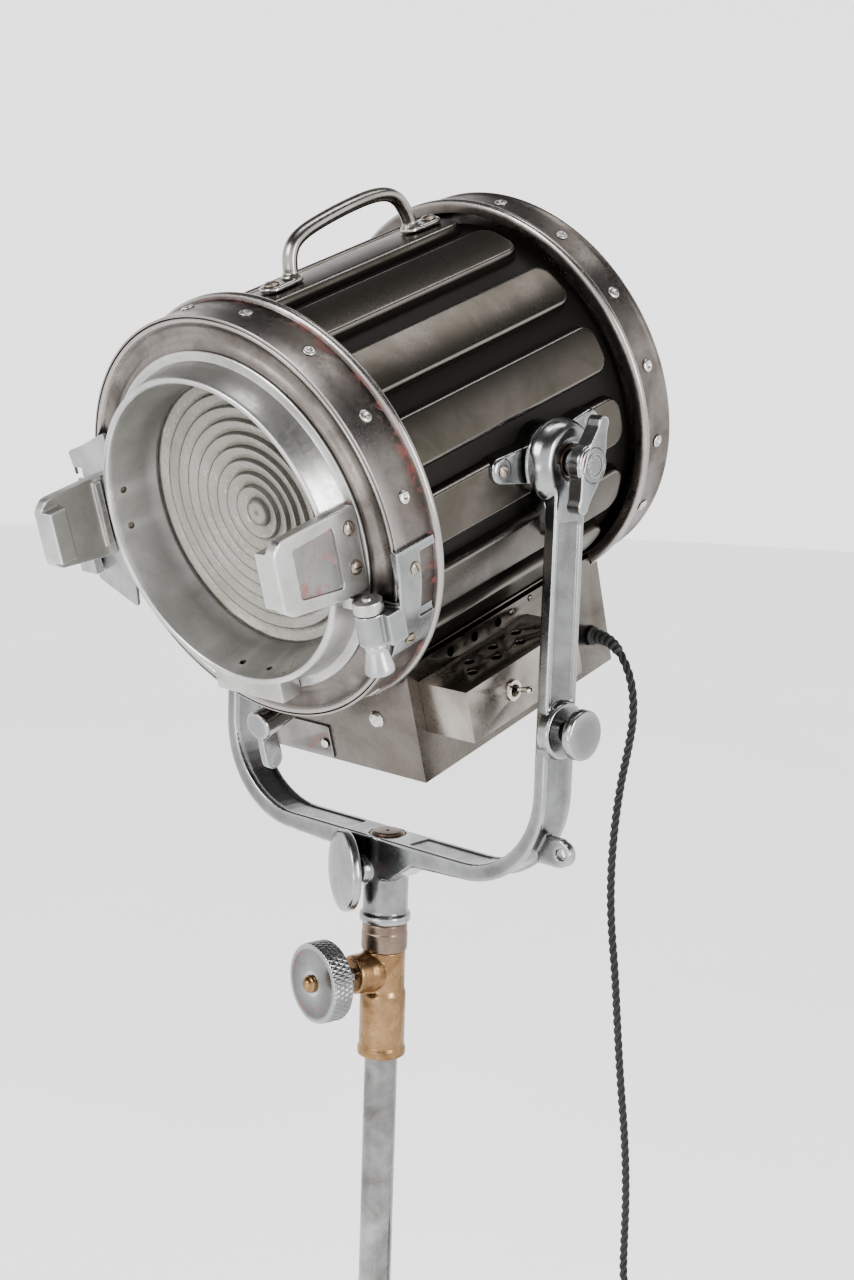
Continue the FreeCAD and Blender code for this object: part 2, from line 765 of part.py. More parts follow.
def make_bands():
    """The riveted steel bands: a flat strap with a rolled bead along its inner edge."""
    turned_part("front_band", [
        ("0 - front_edge", "band_radius - 1"),
        ("0 - front_edge + 1", "band_radius"), ("0 - front_bead - bead_half", "band_radius"),
        ("0 - front_bead - bead_flank", "bead_radius - 1"), ("0 - front_bead", "bead_radius"),
        ("0 - front_bead + bead_flank", "bead_radius - 1"), ("0 - front_bead + bead_half", "band_radius"),
        ("0 - front_bead + bead_half", "band_inner"), ("0 - front_bead - bead_half", "band_inner"),
        ("0 - front_bead - bead_half", "strap_inner"), ("0 - front_edge", "strap_inner")])
    turned_part("rear_band", [
        ("rear_bead - bead_half", "band_inner"), ("rear_bead - bead_half", "band_radius"),
        ("rear_bead - bead_flank", "bead_radius - 1"), ("rear_bead", "bead_radius"),
        ("rear_bead + bead_flank", "bead_radius - 1"), ("rear_bead + bead_half", "band_radius"),
        ("rear_edge - 10", "band_radius"), ("rear_edge - 5", "band_radius + 1.5"),
        ("rear_edge", "band_radius - 1"), ("rear_edge", "strap_inner"),
        ("rear_bead + bead_half", "strap_inner"), ("rear_bead + bead_half", "band_inner")])


def make_end_plates():
    turned_part("front_cap", [
        ("0 - front_edge - 1", "cap_aperture"), ("0 - front_edge + 4", "cap_aperture"),
        ("0 - front_edge + 7", "band_inner - 8"), ("0 - front_edge + 14", "strap_inner - 2 * running_gap"),
        ("0 - front_edge", "strap_inner - 2 * running_gap"), ("0 - front_edge + 3", "band_inner - 12"),
        ("0 - front_edge - 1", "door_flange_radius + 2")])
    turned_part("rear_cover", [
        ("rear_edge - 16", "strap_inner - 2 * running_gap"),
        ("rear_edge - 3", "strap_inner - 2 * running_gap"),
        ("rear_edge - 1", "strap_inner - 6"), ("rear_edge - 8", "strap_inner - 18"),
        ("rear_edge + 8", 60), ("rear_edge + 10", 0), ("rear_edge + 8", 0), ("rear_edge + 6", 60),
        ("rear_edge - 10", "strap_inner - 18"), ("rear_edge - 5.5", "strap_inner - 3"),
        ("rear_edge - 16", "strap_inner - 3")])


def ring_of_rivets(y, count, phase, skip=()):
    heads = []
    for index in range(count):
        if index in skip:
            continue
        spin = Rotation(Vector(0, 1, 0), phase + 360.0 * index / count)
        head = doc.addObject("Part::Cone", "rivet")
        bind(head, "Radius1", "rivet_radius")
        bind(head, "Radius2", "rivet_crown")
        bind(head, "Height", "rivet_height")
        spot = Vector(0, y, number("band_radius + running_gap"))
        head.Placement = Placement(spin.multVec(spot), spin)
        heads.append(head)
    return heads


def make_band_rivets():
    under_the_hinge = (4, 5)
    front = ring_of_rivets(-number("front_rivets"), RIVET_COUNT, RIVET_PHASE, skip=under_the_hinge)
    rear = ring_of_rivets(number("rear_rivets"), RIVET_COUNT, RIVET_PHASE)
    node(group(*front, *rear), "band_rivets", HEAD)


def make_handle():
    """A round bar bent into a grip, with a flat foot at each end."""
    front = -number("handle_front")
    rear = number("handle_rear")
    crown = number("handle_crown")
    shoulder = number("handle_shoulder")
    foot = number("barrel_radius + handle_lift")
    path = [Vector(0, front, foot), Vector(0, front + 2, shoulder), Vector(0, front + 26, crown - 2),
            Vector(0, rear - 32, crown), Vector(0, rear - 6, shoulder), Vector(0, rear, foot)]
    bar = doc.addObject("Part::Feature", "bar")
    bar.Shape = tube_along(path, number("handle_bar_radius"))
    base = foot - number("foot_drop")
    pitch = number("foot_pitch")
    feet = []
    holes = []
    screws = []
    for y, reach in ((front, -1), (rear, 1)):
        screw_y = y + reach * pitch
        inner_y = y - reach * 6
        feet.append(cylinder("foot_radius", "foot_gauge", (0, screw_y, base)))
        feet.append(block("2 * foot_radius", abs(screw_y - inner_y), "foot_gauge",
                          ("0 - foot_radius", min(inner_y, screw_y), base)))
        holes.append(cylinder("handle_screw_hole", "tool_reach", (0, screw_y, foot - 8)))
        screws.append(fuse(cylinder("handle_screw_radius", 6, (0, screw_y, foot - 4)),
                           cone(7, 4.5, 3, (0, screw_y, foot + 0.75))))
    node(cut(fuse(bar, *feet), *holes), "top_handle", HEAD)
    node(group(*screws), "handle_screws", HEAD)


EAR_SPOTS = ((-62.0, 13.0), (60.0, 13.0), (0.0, -60.0))


def make_trunnions():
    plate_face = number("hub_inner - plate_gap")
    reach = plate_face - number("seat_reach")
    root = plate_face - number("stub_root")
    head_face = plate_face + number("running_gap - boss_step")
    web = reach - number("web_step")
    screws = []
    for side, axis_name, sign in (("right", "X", 1), ("left", "-X", -1)):
        seat = sign * number("seat_reach")
        casting = [cylinder("plate_radius", reach, (seat, 0, 0), axis_name)]
        for y, z in EAR_SPOTS:
            casting.append(cylinder("boss_radius", reach - number("boss_step"), (seat, y, z), axis_name))
            arm = doc.addObject("Part::Box", "arm")
            bind(arm, "Length", web)
            bind(arm, "Width", math.hypot(y, z))
            bind(arm, "Height", "web_width")
            corner = Vector(seat if sign > 0 else seat - web, 0, -number("web_width / 2"))
            spin = Rotation(Vector(1, 0, 0), math.degrees(math.atan2(z, y)))
            arm.Placement = Placement(spin.multVec(corner), spin)
            casting.append(arm)
            screws.append(cone("screw_head_radius", "screw_crown_radius", "screw_head_height",
                               (sign * head_face, y, z), axis_name))
        rough = cut(fuse(*casting), cylinder("barrel_radius + body_gap", "across_all",
                                             (0, "0 - across_all / 2", 0), "Y"))
        stub = cylinder("stub_radius", number("arm_outer - washer_gap") - root, (sign * root, 0, 0),
                        axis_name)
        bore = cylinder("tilt_screw_radius + 2 * running_gap", "2 * tool_reach",
                        (seat + sign * 10, 0, 0), axis_name)
        node(cut(fuse(rough, stub), bore), "trunnion_" + side, HEAD)
    node(group(*screws), "trunnion_screws", HEAD)
    cap_face = -number("arm_outer + washer_gap")
    dome = cap_face - number("cap_depth")
    plug = number("tool_reach")
    cap = fuse(cylinder("cap_radius", "cap_depth", (cap_face, 0, 0), "-X"),
               cone("cap_radius", "cap_face_radius", "cap_dome", (dome, 0, 0), "-X"),
               cylinder("cap_plug_radius", plug, (cap_face + plug, 0, 0), "-X"))
    node(cap, "left_pivot_cap", HEAD)


# ---- base box, switch box --------------------------------------------------------------------

def make_base_box():
    length = "base_front + base_rear"
    outer = block("2 * base_half_width", length, "box_height",
                  ("0 - base_half_width", "0 - base_front", "0 - base_floor"))
    inner = block("2 * base_half_width - 2 * sheet_gauge", "base_front + base_rear - 2 * sheet_gauge",
                  "box_height", ("0 - base_half_width + sheet_gauge", "0 - base_front + sheet_gauge",
                        "0 - base_floor + sheet_gauge"))
    barrel_room = cylinder("barrel_radius + body_gap", "across_all", (0, "0 - across_all / 2", 0), "Y")
    band_room = cylinder("bead_radius + body_gap", "box_height", (0, "rear_bead - bead_half - body_gap", 0),
                         "Y")
    front_wall = "0 - base_front - overcut"
    side_wall = "base_half_width - 2 * sheet_gauge"
    shaft_hole = cylinder("focus_shaft_radius + 2 * running_gap", "4 * sheet_gauge",
                          ("0 - focus_x", front_wall, "0 - focus_z"), "Y")
    gland_hole = cylinder("gland_hole", "4 * sheet_gauge", (side_wall, "gland_y", "0 - gland_z"), "X")
    vents = [cylinder("side_vent_radius", "4 * sheet_gauge", (side_wall, y, "0 - side_vent_z"), "X")
             for y in SIDE_VENTS]
    node(cut(outer, inner, barrel_room, band_room, shaft_hole, gland_hole, *vents), "base_box", HEAD)
    face = "0 - base_front - running_gap"
    screw = fuse(cylinder("base_screw_radius", 1.5, ("base_screw_x", face, "0 - base_screw_z"), "-Y"),
                 cone("base_screw_radius", 4.5, 2.5, ("base_screw_x", face + " - 1.45",
                                                      "0 - base_screw_z"), "-Y"))
    node(screw, "base_screw", HEAD)
    plate_face = "0 - base_front - running_gap - plate_gauge"
    plate = cut(block("plate_length", "plate_gauge", "plate_height",
                      ("0 - plate_left", plate_face, "0 - base_floor + overcut")),
                cylinder("pivot_ball", "tool_reach",
                         ("0 - rivet_x", "0 - base_front - tool_reach / 2", "0 - plate_rivet_z"), "Y"))
    node(plate, "focus_plate", HEAD)
    rivet = fuse(cylinder("pivot_ball - running_gap", 2,
                          ("0 - rivet_x", plate_face + " - 0.55", "0 - plate_rivet_z"), "Y"),
                 cone(2.8, 4.6, 1.4, ("0 - rivet_x", plate_face + " - 1.45", "0 - plate_rivet_z"), "Y"))
    node(rivet, "plate_rivet", HEAD)


SIDE_VENTS = (-81, -48, -15)
VENT_SPOTS = tuple((134.0, y) for y in (-93.0, -60.0, -27.0)) + tuple(
    (116.5, y) for y in (-77.0, -44.5, -12.0))


def make_switch_box():
    inner_face = "base_half_width + 2 * running_gap"
    depth = "switch_outer - base_half_width - 2 * running_gap"
    outer = block(depth, "switch_front + switch_rear", "switch_floor - switch_top",
                  (inner_face, "0 - switch_front", "0 - switch_floor"))
    inner = block(depth + " - sheet_gauge", "switch_front + switch_rear - 2 * sheet_gauge",
                  "switch_floor - switch_top - 2 * sheet_gauge",
                  (inner_face, "0 - switch_front + sheet_gauge", "0 - switch_floor + sheet_gauge"))
    vents = [cylinder("top_vent_radius", "bush_length", (x, y, "0 - switch_top - 3 * sheet_gauge"))
             for x, y in VENT_SPOTS]
    centre_y = "0 - toggle_y"
    centre_z = "0 - toggle_z"
    bush_hole = cylinder("bush_radius + 2 * running_gap", "bush_length",
                         ("switch_outer - 3 * sheet_gauge", centre_y, centre_z), "X")
    node(cut(outer, inner, bush_hole, *vents), "switch_box", HEAD)
    switch = cut(fuse(cylinder("bush_radius", "bush_length", ("switch_outer - 7", centre_y, centre_z),
                               "X"),
                      cylinder("nut_ring_radius", "nut_ring",
                               ("switch_outer + running_gap", centre_y, centre_z), "X"),
                      block(20, 26, 20, ("switch_outer - 27", "0 - toggle_y - 13",
                                         "0 - toggle_z - 10"))),
                 cone("pivot_pin_half", 5.6, 12, ("switch_outer - 6", centre_y, centre_z), "X"))
    node(switch, "toggle_switch", HEAD)
    pivot_x = "switch_outer - lever_pivot"
    bat = fuse(ball("pivot_ball", (pivot_x, centre_y, centre_z)),
               cylinder("pivot_pin_radius", "2 * pivot_pin_half",
                        (pivot_x, "0 - toggle_y - pivot_pin_half", centre_z), "Y"),
               cone("bat_root", "pivot_ball", "bat_length", (pivot_x, centre_y, centre_z),
                    Rotation(Vector(0, 1, 0), BAT_LEAN)),
               ball("bat_tip", ("switch_outer + 19.7", centre_y, "0 - toggle_z + 4")))
    node(bat, "toggle_lever", HEAD)


def make_gland():
    flange = "base_half_width + 2 * running_gap"
    stem = "base_half_width - gland_hole"
    gland = cut(fuse(cylinder("gland_radius", "gland_flange", (flange, "gland_y", "0 - gland_z"), "X"),
                     cone("gland_radius - 1", "gland_stem - body_gap", "gland_nose",
                          (flange + " + gland_flange", "gland_y", "0 - gland_z"), "X"),
                     cylinder("gland_stem", "gland_hole + overcut", (stem, "gland_y", "0 - gland_z"),
                              "X")),
                cylinder("gland_bore", "tool_reach", (stem + " - gland_flange", "gland_y",
                                                      "0 - gland_z"), "X"))
    node(gland, "cord_gland", HEAD)


# ---- focus drive and lamp --------------------------------------------------------------------

def make_focus_drive():
    axis_x = "0 - focus_x"
    axis_z = "0 - focus_z"
    shaft = fuse(cylinder("focus_shaft_radius", "shaft_run", (axis_x, "0 - shaft_front", axis_z), "Y"),
                 cylinder("drum_radius", "drum_length", (axis_x, "0 - drum_front", axis_z), "Y"),
                 cylinder("focus_shaft_radius", "shaft_tail",
                          (axis_x, "drum_length - drum_front", axis_z), "Y"))
    node(shaft, "focus_drum", HEAD)
    hub = cone("drum_radius", "knob_hub_front", "knob_hub", (axis_x, "0 - knob_face", axis_z), "-Y")
    fin = block("fin_width", "fin_depth", "fin_drop",
                ("0 - focus_x - fin_width / 2", "0 - knob_end", "0 - focus_z - fin_drop - 2"))
    tip = cylinder("fin_tip_radius", "fin_width", ("0 - focus_x - fin_width / 2",
                                                   "0 - knob_end + fin_tip_radius",
                                                   "0 - focus_z - fin_drop"), "X")
    socket = cylinder("focus_shaft_radius + running_gap", "shaft_socket",
                      (axis_x, "0 - shaft_front - 2 * running_gap", axis_z), "Y")
    node(cut(fuse(hub, fin, tip), socket), "focus_knob", HEAD)
    back = "base_rear - sheet_gauge - bearing_gauge - 4 * running_gap"
    bearing = cut(block("bearing_width", "bearing_gauge", "bearing_height",
                        ("0 - focus_x - bearing_width / 2", back, "0 - focus_z - 21")),
                  cylinder("focus_shaft_radius + 2 * running_gap", "tool_reach",
                           (axis_x, back + " - tool_reach / 2", axis_z), "Y"))
    node(bearing, "focus_bearing", HEAD)
    rails = [cylinder("rail_radius", "base_front + base_rear - 2 * sheet_gauge - 4 * running_gap",
                      (x, "0 - base_front + sheet_gauge + 2 * running_gap", "0 - rail_z"), "Y")
             for x in ("rail_x", "0 - rail_x")]
    node(group(*rails), "focus_rails", HEAD)


def make_carriage():
    """The sliding carriage: a bed on two rails, a post, and a follower hung over the cam drum."""
    centre = "0 - lamp_y"
    bed = block("2 * bed_half_width", "bed_length", "bed_height",
                ("0 - bed_half_width", "0 - lamp_y - bed_length / 2", "0 - rail_z - bed_height / 2"))
    follower = block("2 * follower_half", "follower_length", "follower_height",
                     ("0 - focus_x - follower_half", "0 - lamp_y - follower_length / 2", "0 - rail_z"))
    post = block("post_width", "post_width", "post_height",
                 (0, "0 - lamp_y - post_width / 2", "0 - rail_z"))
    stage = block("2 * stage_half", "3 * stage_half", "stage_gauge",
                  ("0 - stage_half", "0 - lamp_y - 25", "0 - stage_top - stage_gauge"))
    start = "0 - lamp_y - 45"
    bearings = [cylinder("rail_radius + 2 * running_gap", "3 * stage_half", (x, start, "0 - rail_z"),
                         "Y")
                for x in ("rail_x", "0 - rail_x")]
    drum_room = cylinder("drum_radius + 2 * running_gap", "3 * stage_half",
                         ("0 - focus_x", start, "0 - focus_z"), "Y")
    node(cut(fuse(bed, follower, post, stage), drum_room, *bearings), "focus_carriage", HEAD)
    holder = fuse(cylinder(24, 20, (0, centre, -81.9)), cylinder(18, 8, (0, centre, -62)))
    node(holder, "lamp_holder", HEAD)
    bulb = fuse(cylinder(13, 18, (0, centre, -53.9)), cone(13, 27, 14, (0, centre, -36)),
                cylinder(27, 44, (0, centre, -22.2)), ball(27, (0, centre, 21)))
    node(bulb, "lamp", HEAD)
    bracket = fuse(block(16, 3, 90, (-8, 56, -88)), block(16, 42, 3, (-8, 15, -81.9)))
    node(bracket, "reflector_bracket", HEAD)
    mirror_radius = 78.0
    rim = 60.0
    apex = 55.7
    rim_y = apex - mirror_radius + math.sqrt(mirror_radius ** 2 - rim ** 2)
    turned_part("reflector", [(apex, 0), (rim_y, rim), (rim_y - 2.4, rim), (apex - 2.2, 0)],
                HEAD, {0: (mirror_radius, 1), 2: (mirror_radius - 1.0, -1)})


# ---- lens door -------------------------------------------------------------------------------

def make_door():
    body = new_body()
    revolve(body, sketch(body, "YZ_Plane", [
        ("0 - door_back", "throat_radius"), ("0 - door_back", "door_flange_radius"),
        ("0 - door_flange_front", "door_flange_radius"),
        ("0 - door_flange_front", "door_rim_radius + 5"), ("0 - door_rim + 2", "door_rim_radius"),
        ("0 - door_rim", "door_rim_radius - 2"), ("0 - door_rim", "door_rim_inner"),
        ("0 - lens_front - 3", "lens_opening"), ("0 - lens_front", "lens_opening"),
        ("0 - lens_front", "lens_radius + lens_seat_gap"),
        ("0 - lens_front + lens_seat", "lens_radius + lens_seat_gap"),
        ("0 - lens_front + lens_seat", "throat_radius")]))
    ear_foot = "0 - knuckle_top + body_gap"
    ear = fuse(cylinder("knuckle_radius", "ear_height", ("hinge_x", "0 - hinge_y", ear_foot)),
               block("ear_length", "knuckle_radius", "ear_height",
                     ("hinge_x - ear_length", "0 - hinge_y - 3", ear_foot)))
    lower_pad = block(84, 24, 40, (-44, -232, -154))
    side_pads = [block(24, 26, 72, (x, -233, -36)) for x in (115.0, -139.0)]
    bore = cylinder("hinge_pin_radius + 2 * running_gap", 40, ("hinge_x", "0 - hinge_y", -70))
    throat = cylinder("throat_radius", 60, (0, -209, 0), "Y")
    funnel = cone("door_rim_inner + lens_seat_gap", "lens_opening + lens_seat_gap",
                  "door_rim - lens_front - 2 * overcut", (0, "0 - door_rim - overcut", 0), "Y")
    casting = cut(fuse(lower_pad, *side_pads), funnel, throat)
    clip_seats = [block(20, 40, 76, (x, -248.1, -38.5)) for x in (139.35, -159.35)]
    door = cut(fuse(body, casting, ear), bore, *clip_seats, *screw_bores("clip_screw_radius"))
    node(door, "lens_door", HEAD)


CLIP_SCREWS = ((-219.5, 20.0), (-219.5, -14.0))


def screw_bores(radius):
    """Bores for the screws that hold the accessory clips and for the two spare holes below."""
    bores = []
    for sign, axis_name in ((1, "X"), (-1, "-X")):
        for y, z in CLIP_SCREWS:
            bores.append(cylinder(radius, 60, (sign * 100, y, z), axis_name))
    for x in (-17.0, 17.0):
        bores.append(cylinder(radius, 60, (x, -219.5, -100), "-Z"))
    return bores


def make_lens():
    rear = "0 - lens_front + lens_thickness"
    step = 12
    outline = [(rear, 0), (rear, "lens_radius")]
    front = number("0 - lens_front")
    outline.append(("0 - lens_front + 0.1", "lens_radius"))
    rings = 9
    for index in range(rings):
        outer = 120.0 - step * index
        outline.append((front + 0.4, outer))
        outline.append((front + 4.5, outer - step))
    outline.append((front + 0.8, 9))
    outline.append((front + 0.1, 0))
    turned_part("fresnel_lens", outline)
    turned_part("lens_retainer", [
        ("0 - lens_front + lens_thickness + 2 * running_gap", "lens_opening - 2"),
        ("0 - lens_front + lens_thickness + 2 * running_gap", "lens_radius + body_gap"),
        ("0 - lens_front + lens_thickness + 4", "lens_radius + body_gap"),
        ("0 - lens_front + lens_thickness + 4", "lens_opening - 2")])


def make_clips():
    """Side clips that hold an accessory frame: a plate with a lip turned in at its front."""
    outline = [("0 - clip_back", -38), ("0 - clip_back", 37), ("0 - clip_front + 8", 38),
               ("0 - clip_front", 30), ("0 - clip_front", -20), ("0 - clip_front + 8", -27)]
    recess = [(-236, -25), (-236, 25), (-281, 24), (-281, -17)]
    thickness = number("clip_outer - clip_inner")
    for side, sign in (("right", 1), ("left", -1)):
        body = new_body()
        plan = sketch(body, "YZ_Plane", outline)
        pad(body, plan, thickness, backwards=sign < 0)
        body.Placement.Base = Vector(sign * number("clip_inner"), 0, 0)
        lip_x = 127.0 if sign > 0 else -139.5
        lip = block(12.5, 19, 48, (lip_x, -303, -19))
        inner_rail = block(4, 8, 60, (135.4 if sign > 0 else -139.5, -243.5, -26))
        hollow = new_body()
        pad(hollow, sketch(hollow, "YZ_Plane", recess), 4)
        hollow.Placement.Base = Vector(146.5 if sign > 0 else -150.5, 0, 0)
        bores = [cylinder("clip_screw_radius", 60, (sign * 100, y, z), "X" if sign > 0 else "-X")
                 for y, z in CLIP_SCREWS]
        node(cut(fuse(body, lip, inner_rail), hollow, *bores), "accessory_clip_" + side, HEAD)
    screws = []
    for sign, axis_name in ((1, "X"), (-1, "-X")):
        for y, z in CLIP_SCREWS:
            screws.append(fuse(cylinder("clip_screw_radius - 2 * running_gap", 21,
                                        (sign * 130, y, z), axis_name),
                               cone(6.5, 4.5, 3, (sign * 150.05, y, z), axis_name)))
    node(group(*screws), "clip_screws", HEAD)


def make_latch():
    body = new_body()
    outline = [(-150, 68), (-187, 52), (-207, 45), (-199, 0), (-205, -80), (-158, -102), (-150, -60)]
    slot = [(-203, 19), (-203, 30), (-193, 30), (-193, 19)]
    pad(body, sketch(body, "XZ_Plane", outline), "latch_gauge")
    body.Placement.Base = Vector(0, -number("door_flange_front + running_gap"), 0)
    hole = new_body()
    pad(hole, sketch(hole, "XZ_Plane", slot), 10)
    hole.Placement.Base = Vector(0, -205, 0)
    ring_room = cylinder("door_rim_radius + 4.5", 40, (0, -240, 0), "Y")
    node(cut(body, hole, ring_room), "latch_plate", HEAD)
    lugs = cut(block(42, 14, 30, (-206, -199, -77)),
               cylinder("band_radius + 2 * running_gap", 60, (0, -220, 0), "Y"),
               block(38, 40, 18, (-230, -220, -71)))
    foot = cut(block(30, 37, 34, (-196, -200, -79)),
               cylinder("band_radius + 2 * running_gap", 60, (0, -220, 0), "Y"),
               cut(cylinder("across_all", 60, (0, -220, 0), "Y"),
                   cylinder("band_radius + 3", 60, (0, -220, 0), "Y")))
    pin = cylinder("catch_pin_radius", 31, (-200, -192, -77.5))
    node(fuse(lugs, foot, pin), "catch_bracket", HEAD)
    lever_body = new_body()
    outline = [(-195, -187), (-206, -187), (-216, -203), (-216, -221), (-194, -221),
               (-194, -212.3), (-209, -212.3), (-209, -203), (-204, -198.5), (-195, -198.5)]
    pad(lever_body, sketch(lever_body, "XY_Plane", outline), "catch_width")
    lever_body.Placement.Base = Vector(0, 0, -70.5)
    pin_hole = cylinder("catch_pin_radius + 2 * running_gap", 40, (-200, -192, -80))
    node(cut(lever_body, pin_hole), "door_catch", HEAD)


def make_hinge():
    """The bracket: a saddle on the front band, an arm forward and a knuckle for the door's pin."""
    saddle = cut(block(70, 45.5, 96, (140, -209, -98)),
                 cylinder("band_radius + 2 * running_gap", 80, (0, "0 - front_edge - 1.2", 0), "Y"),
                 cut(cylinder("across_all", 120, (0, -240, 0), "Y"),
                     cylinder("band_radius + bracket_gauge", 120, (0, -240, 0), "Y")),
                 cylinder("door_flange_radius + 3", 30, (0, -230, 0), "Y"),
                 block(80, 30, 46, (100, -235, -47)),
                 block(40, 60, 60, (172, -182, -70)))
    height = "knuckle_bottom - knuckle_top"
    foot = "0 - knuckle_bottom"
    arm = cut(block(24, 18.8, height, ("hinge_x - 3", "0 - hinge_y", foot)),
              cylinder("door_flange_radius + 3", 30, (0, -230, 0), "Y"))
    knuckle = cylinder("knuckle_radius", height, ("hinge_x", "0 - hinge_y", foot))
    bore = cylinder("hinge_pin_radius + running_gap", 60, ("hinge_x", "0 - hinge_y", -100))
    node(cut(fuse(saddle, arm, knuckle), bore), "hinge_bracket", HEAD)
    pin = fuse(cylinder("hinge_pin_radius", "pin_length", ("hinge_x", "0 - hinge_y", -80)),
               cone(9, "pin_head_radius", 24, ("hinge_x", "0 - hinge_y", -77.1), "-Z"),
               cylinder("pin_head_radius", 3, ("hinge_x", "0 - hinge_y", -101.1), "-Z"))
    node(pin, "hinge_pin", HEAD)
    heads = []
    for angle in (6.6, 28.0):
        spin = Rotation(Vector(0, 1, 0), 90 + angle)
        head = doc.addObject("Part::Cone", "screw")
        bind(head, "Radius1", 5.5)
        bind(head, "Radius2", 4)
        bind(head, "Height", 2.2)
        spot = Vector(0, -189.5, number("band_radius + bracket_gauge + running_gap"))
        head.Placement = Placement(spin.multVec(spot), spin)
        heads.append(head)
    node(group(*heads), "hinge_screws", HEAD)


# ---- cord ------------------------------------------------------------------------------------

EXIT = HEAD.multVec(Vector(107.1, 109, -228))
# The lead leaves the box sideways, falls behind the crossbar and wanders on its way down.
ROUTE_STEPS = ((0, 0, 0), (13, 0, 0), (29, 2, -14), (39, 6, -40), (39, 11, -72), (30, 17, -106),
               (18, 23, -146), (9.5, 28, -192), (5, 32, -240), (5.5, 35, -288), (12, 38, -344),
               (15, 42, -398), (20, 45, -456), (27, 48, -516), (30, 51, -576), (29, 53, -632),
               (30, 53, -668), (39, 53, -697), (52, 53, -713))
ROUTE = [EXIT + Vector(*step) for step in ROUTE_STEPS]
COIL_CENTRE = ROUTE[-1] + Vector(-34, 0, -29)
TAIL_STEPS = ((-31, 0, -53), (-51, 1, -56), (-68, 3, -69), (-76, 5, -92), (-76, 6, -116))
TAIL = [COIL_CENTRE + Vector(*step) for step in TAIL_STEPS]


def tube_along(points, radius, show_radii=False):
    """A round tube on straight runs joined by tangent arcs, as large as the runs allow."""
    edges = []
    start = points[0]
    radii = []
    for before, corner, after in zip(points, points[1:], points[2:]):
        back = (before - corner).normalize()
        ahead = (after - corner).normalize()
        turn = math.pi - back.getAngle(ahead)
        shorter = min(before.distanceToPoint(corner), corner.distanceToPoint(after))
        setback = 0.45 * shorter
        bend = setback / math.tan(turn / 2)
        radii.append(bend)
        enter = corner + back * setback
        leave = corner + ahead * setback
        bisector = (back + ahead).normalize()
        centre = corner + bisector * (bend / math.cos(turn / 2))
        middle = centre - bisector * bend
        edges.append(Part.LineSegment(start, enter).toShape())
        edges.append(Part.Arc(enter, middle, leave).toShape())
        start = leave
    edges.append(Part.LineSegment(start, points[-1]).toShape())
    wire = Part.Wire(edges)
    across = (points[1] - points[0]).normalize()
    profile = Part.Wire([Part.Circle(points[0], across, radius).toShape()])
    tube = wire.makePipeShell([profile], True, False)
    if show_radii:
        print("arc radii (mm):", [round(value) for value in radii])
        expected = math.pi * radius ** 2 * wire.Length
        print("path length %.1f mm, volume / (section x length) %.4f"
              % (wire.Length, tube.Volume / expected))
    return tube


def make_cord():
    radius = SIZES["cord_radius"]
    stretches = []
    for points in (ROUTE, TAIL):
        tube = doc.addObject("Part::Feature", "stretch")
        tube.Shape = tube_along(points, radius, show_radii=True)
        stretches.append(tube)
    node(group(*stretches), "cord")
    coil = doc.addObject("Part::Torus", "coil")
    bind(coil, "Radius1", "coil_ring_radius")
    bind(coil, "Radius2", "coil_bundle_radius")
    node(coil, "cord_coil", Placement(COIL_CENTRE, AXES["Y"]))
    tie = doc.addObject("Part::Feature", "tie")
    outer = Part.makeCylinder(SIZES["coil_bundle_radius"] + 2.2, 10, Vector(0, 0, -5))
    inner = Part.makeCylinder(SIZES["coil_bundle_radius"] + 0.4, 10, Vector(0, 0, -5))
    tie.Shape = outer.cut(inner)
    beside = Rotation(Vector(0, 1, 0), -12)
    reach = beside.multVec(Vector(SIZES["coil_ring_radius"], 0, 0))
    node(tie, "coil_tie", Placement(COIL_CENTRE + reach, beside))
    fall = (TAIL[-1] - TAIL[-2]).normalize()
    lean = Rotation(Vector(0, 0, 1), fall)
    plug = doc.addObject("Part::Feature", "plug")
    body = Part.makeCone(6, 8.5, 12).fuse(Part.makeCylinder(18, 26, Vector(0, 0, 12)))
    plug.Shape = body.fuse(Part.makeCone(18, 16, 4, Vector(0, 0, 38))).removeSplitter()
    node(plug, "plug", Placement(TAIL[-1] + fall * 0.05, lean))
    pins = doc.addObject("Part::Feature", "pins")
    blades = []
    for across, up, width, height in ((-6.5, -4, 1.6, 6.4), (6.5, -4, 1.6, 6.4), (0, 7, 4.6, 4.6)):
        corner = Vector(across - width / 2, up - height / 2, 42.1)
        blades.append(Part.makeBox(width, height, 17, corner))
    pins.Shape = Part.makeCompound(blades)
    node(pins, "plug_pins", Placement(TAIL[-1] + fall * 0.05, lean))


# ---- assembly --------------------------------------------------------------------------------

make_riser()
make_adaptor()
make_clamp()
make_yoke()
make_pan_lock()
make_arm_knob()
make_tilt_lock()
make_barrel()
make_bands()
make_end_plates()
make_band_rivets()
make_handle()
make_trunnions()
make_base_box()
make_switch_box()
make_gland()
make_focus_drive()
make_carriage()
make_door()
make_lens()
make_clips()
make_latch()
make_hinge()
make_cord()

doc.recompute()
broken = [item.Name for item in doc.Objects if {"Invalid", "Error"} & set(item.State)]
if broken:
    raise RuntimeError("failed objects: %s" % broken)
for item in NODES:
    if item.Shape.isNull() or not item.Shape.isValid():
        raise RuntimeError("bad shape: %s" % item.Label)
os.makedirs("parts", exist_ok=True)
for item in NODES:
    item.Shape.exportStep("parts/%s.step" % item.Label)
print("%d nodes" % len(NODES))
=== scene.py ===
import json
import math

import bmesh
import bpy
import numpy as np
from mathutils import Matrix, Vector


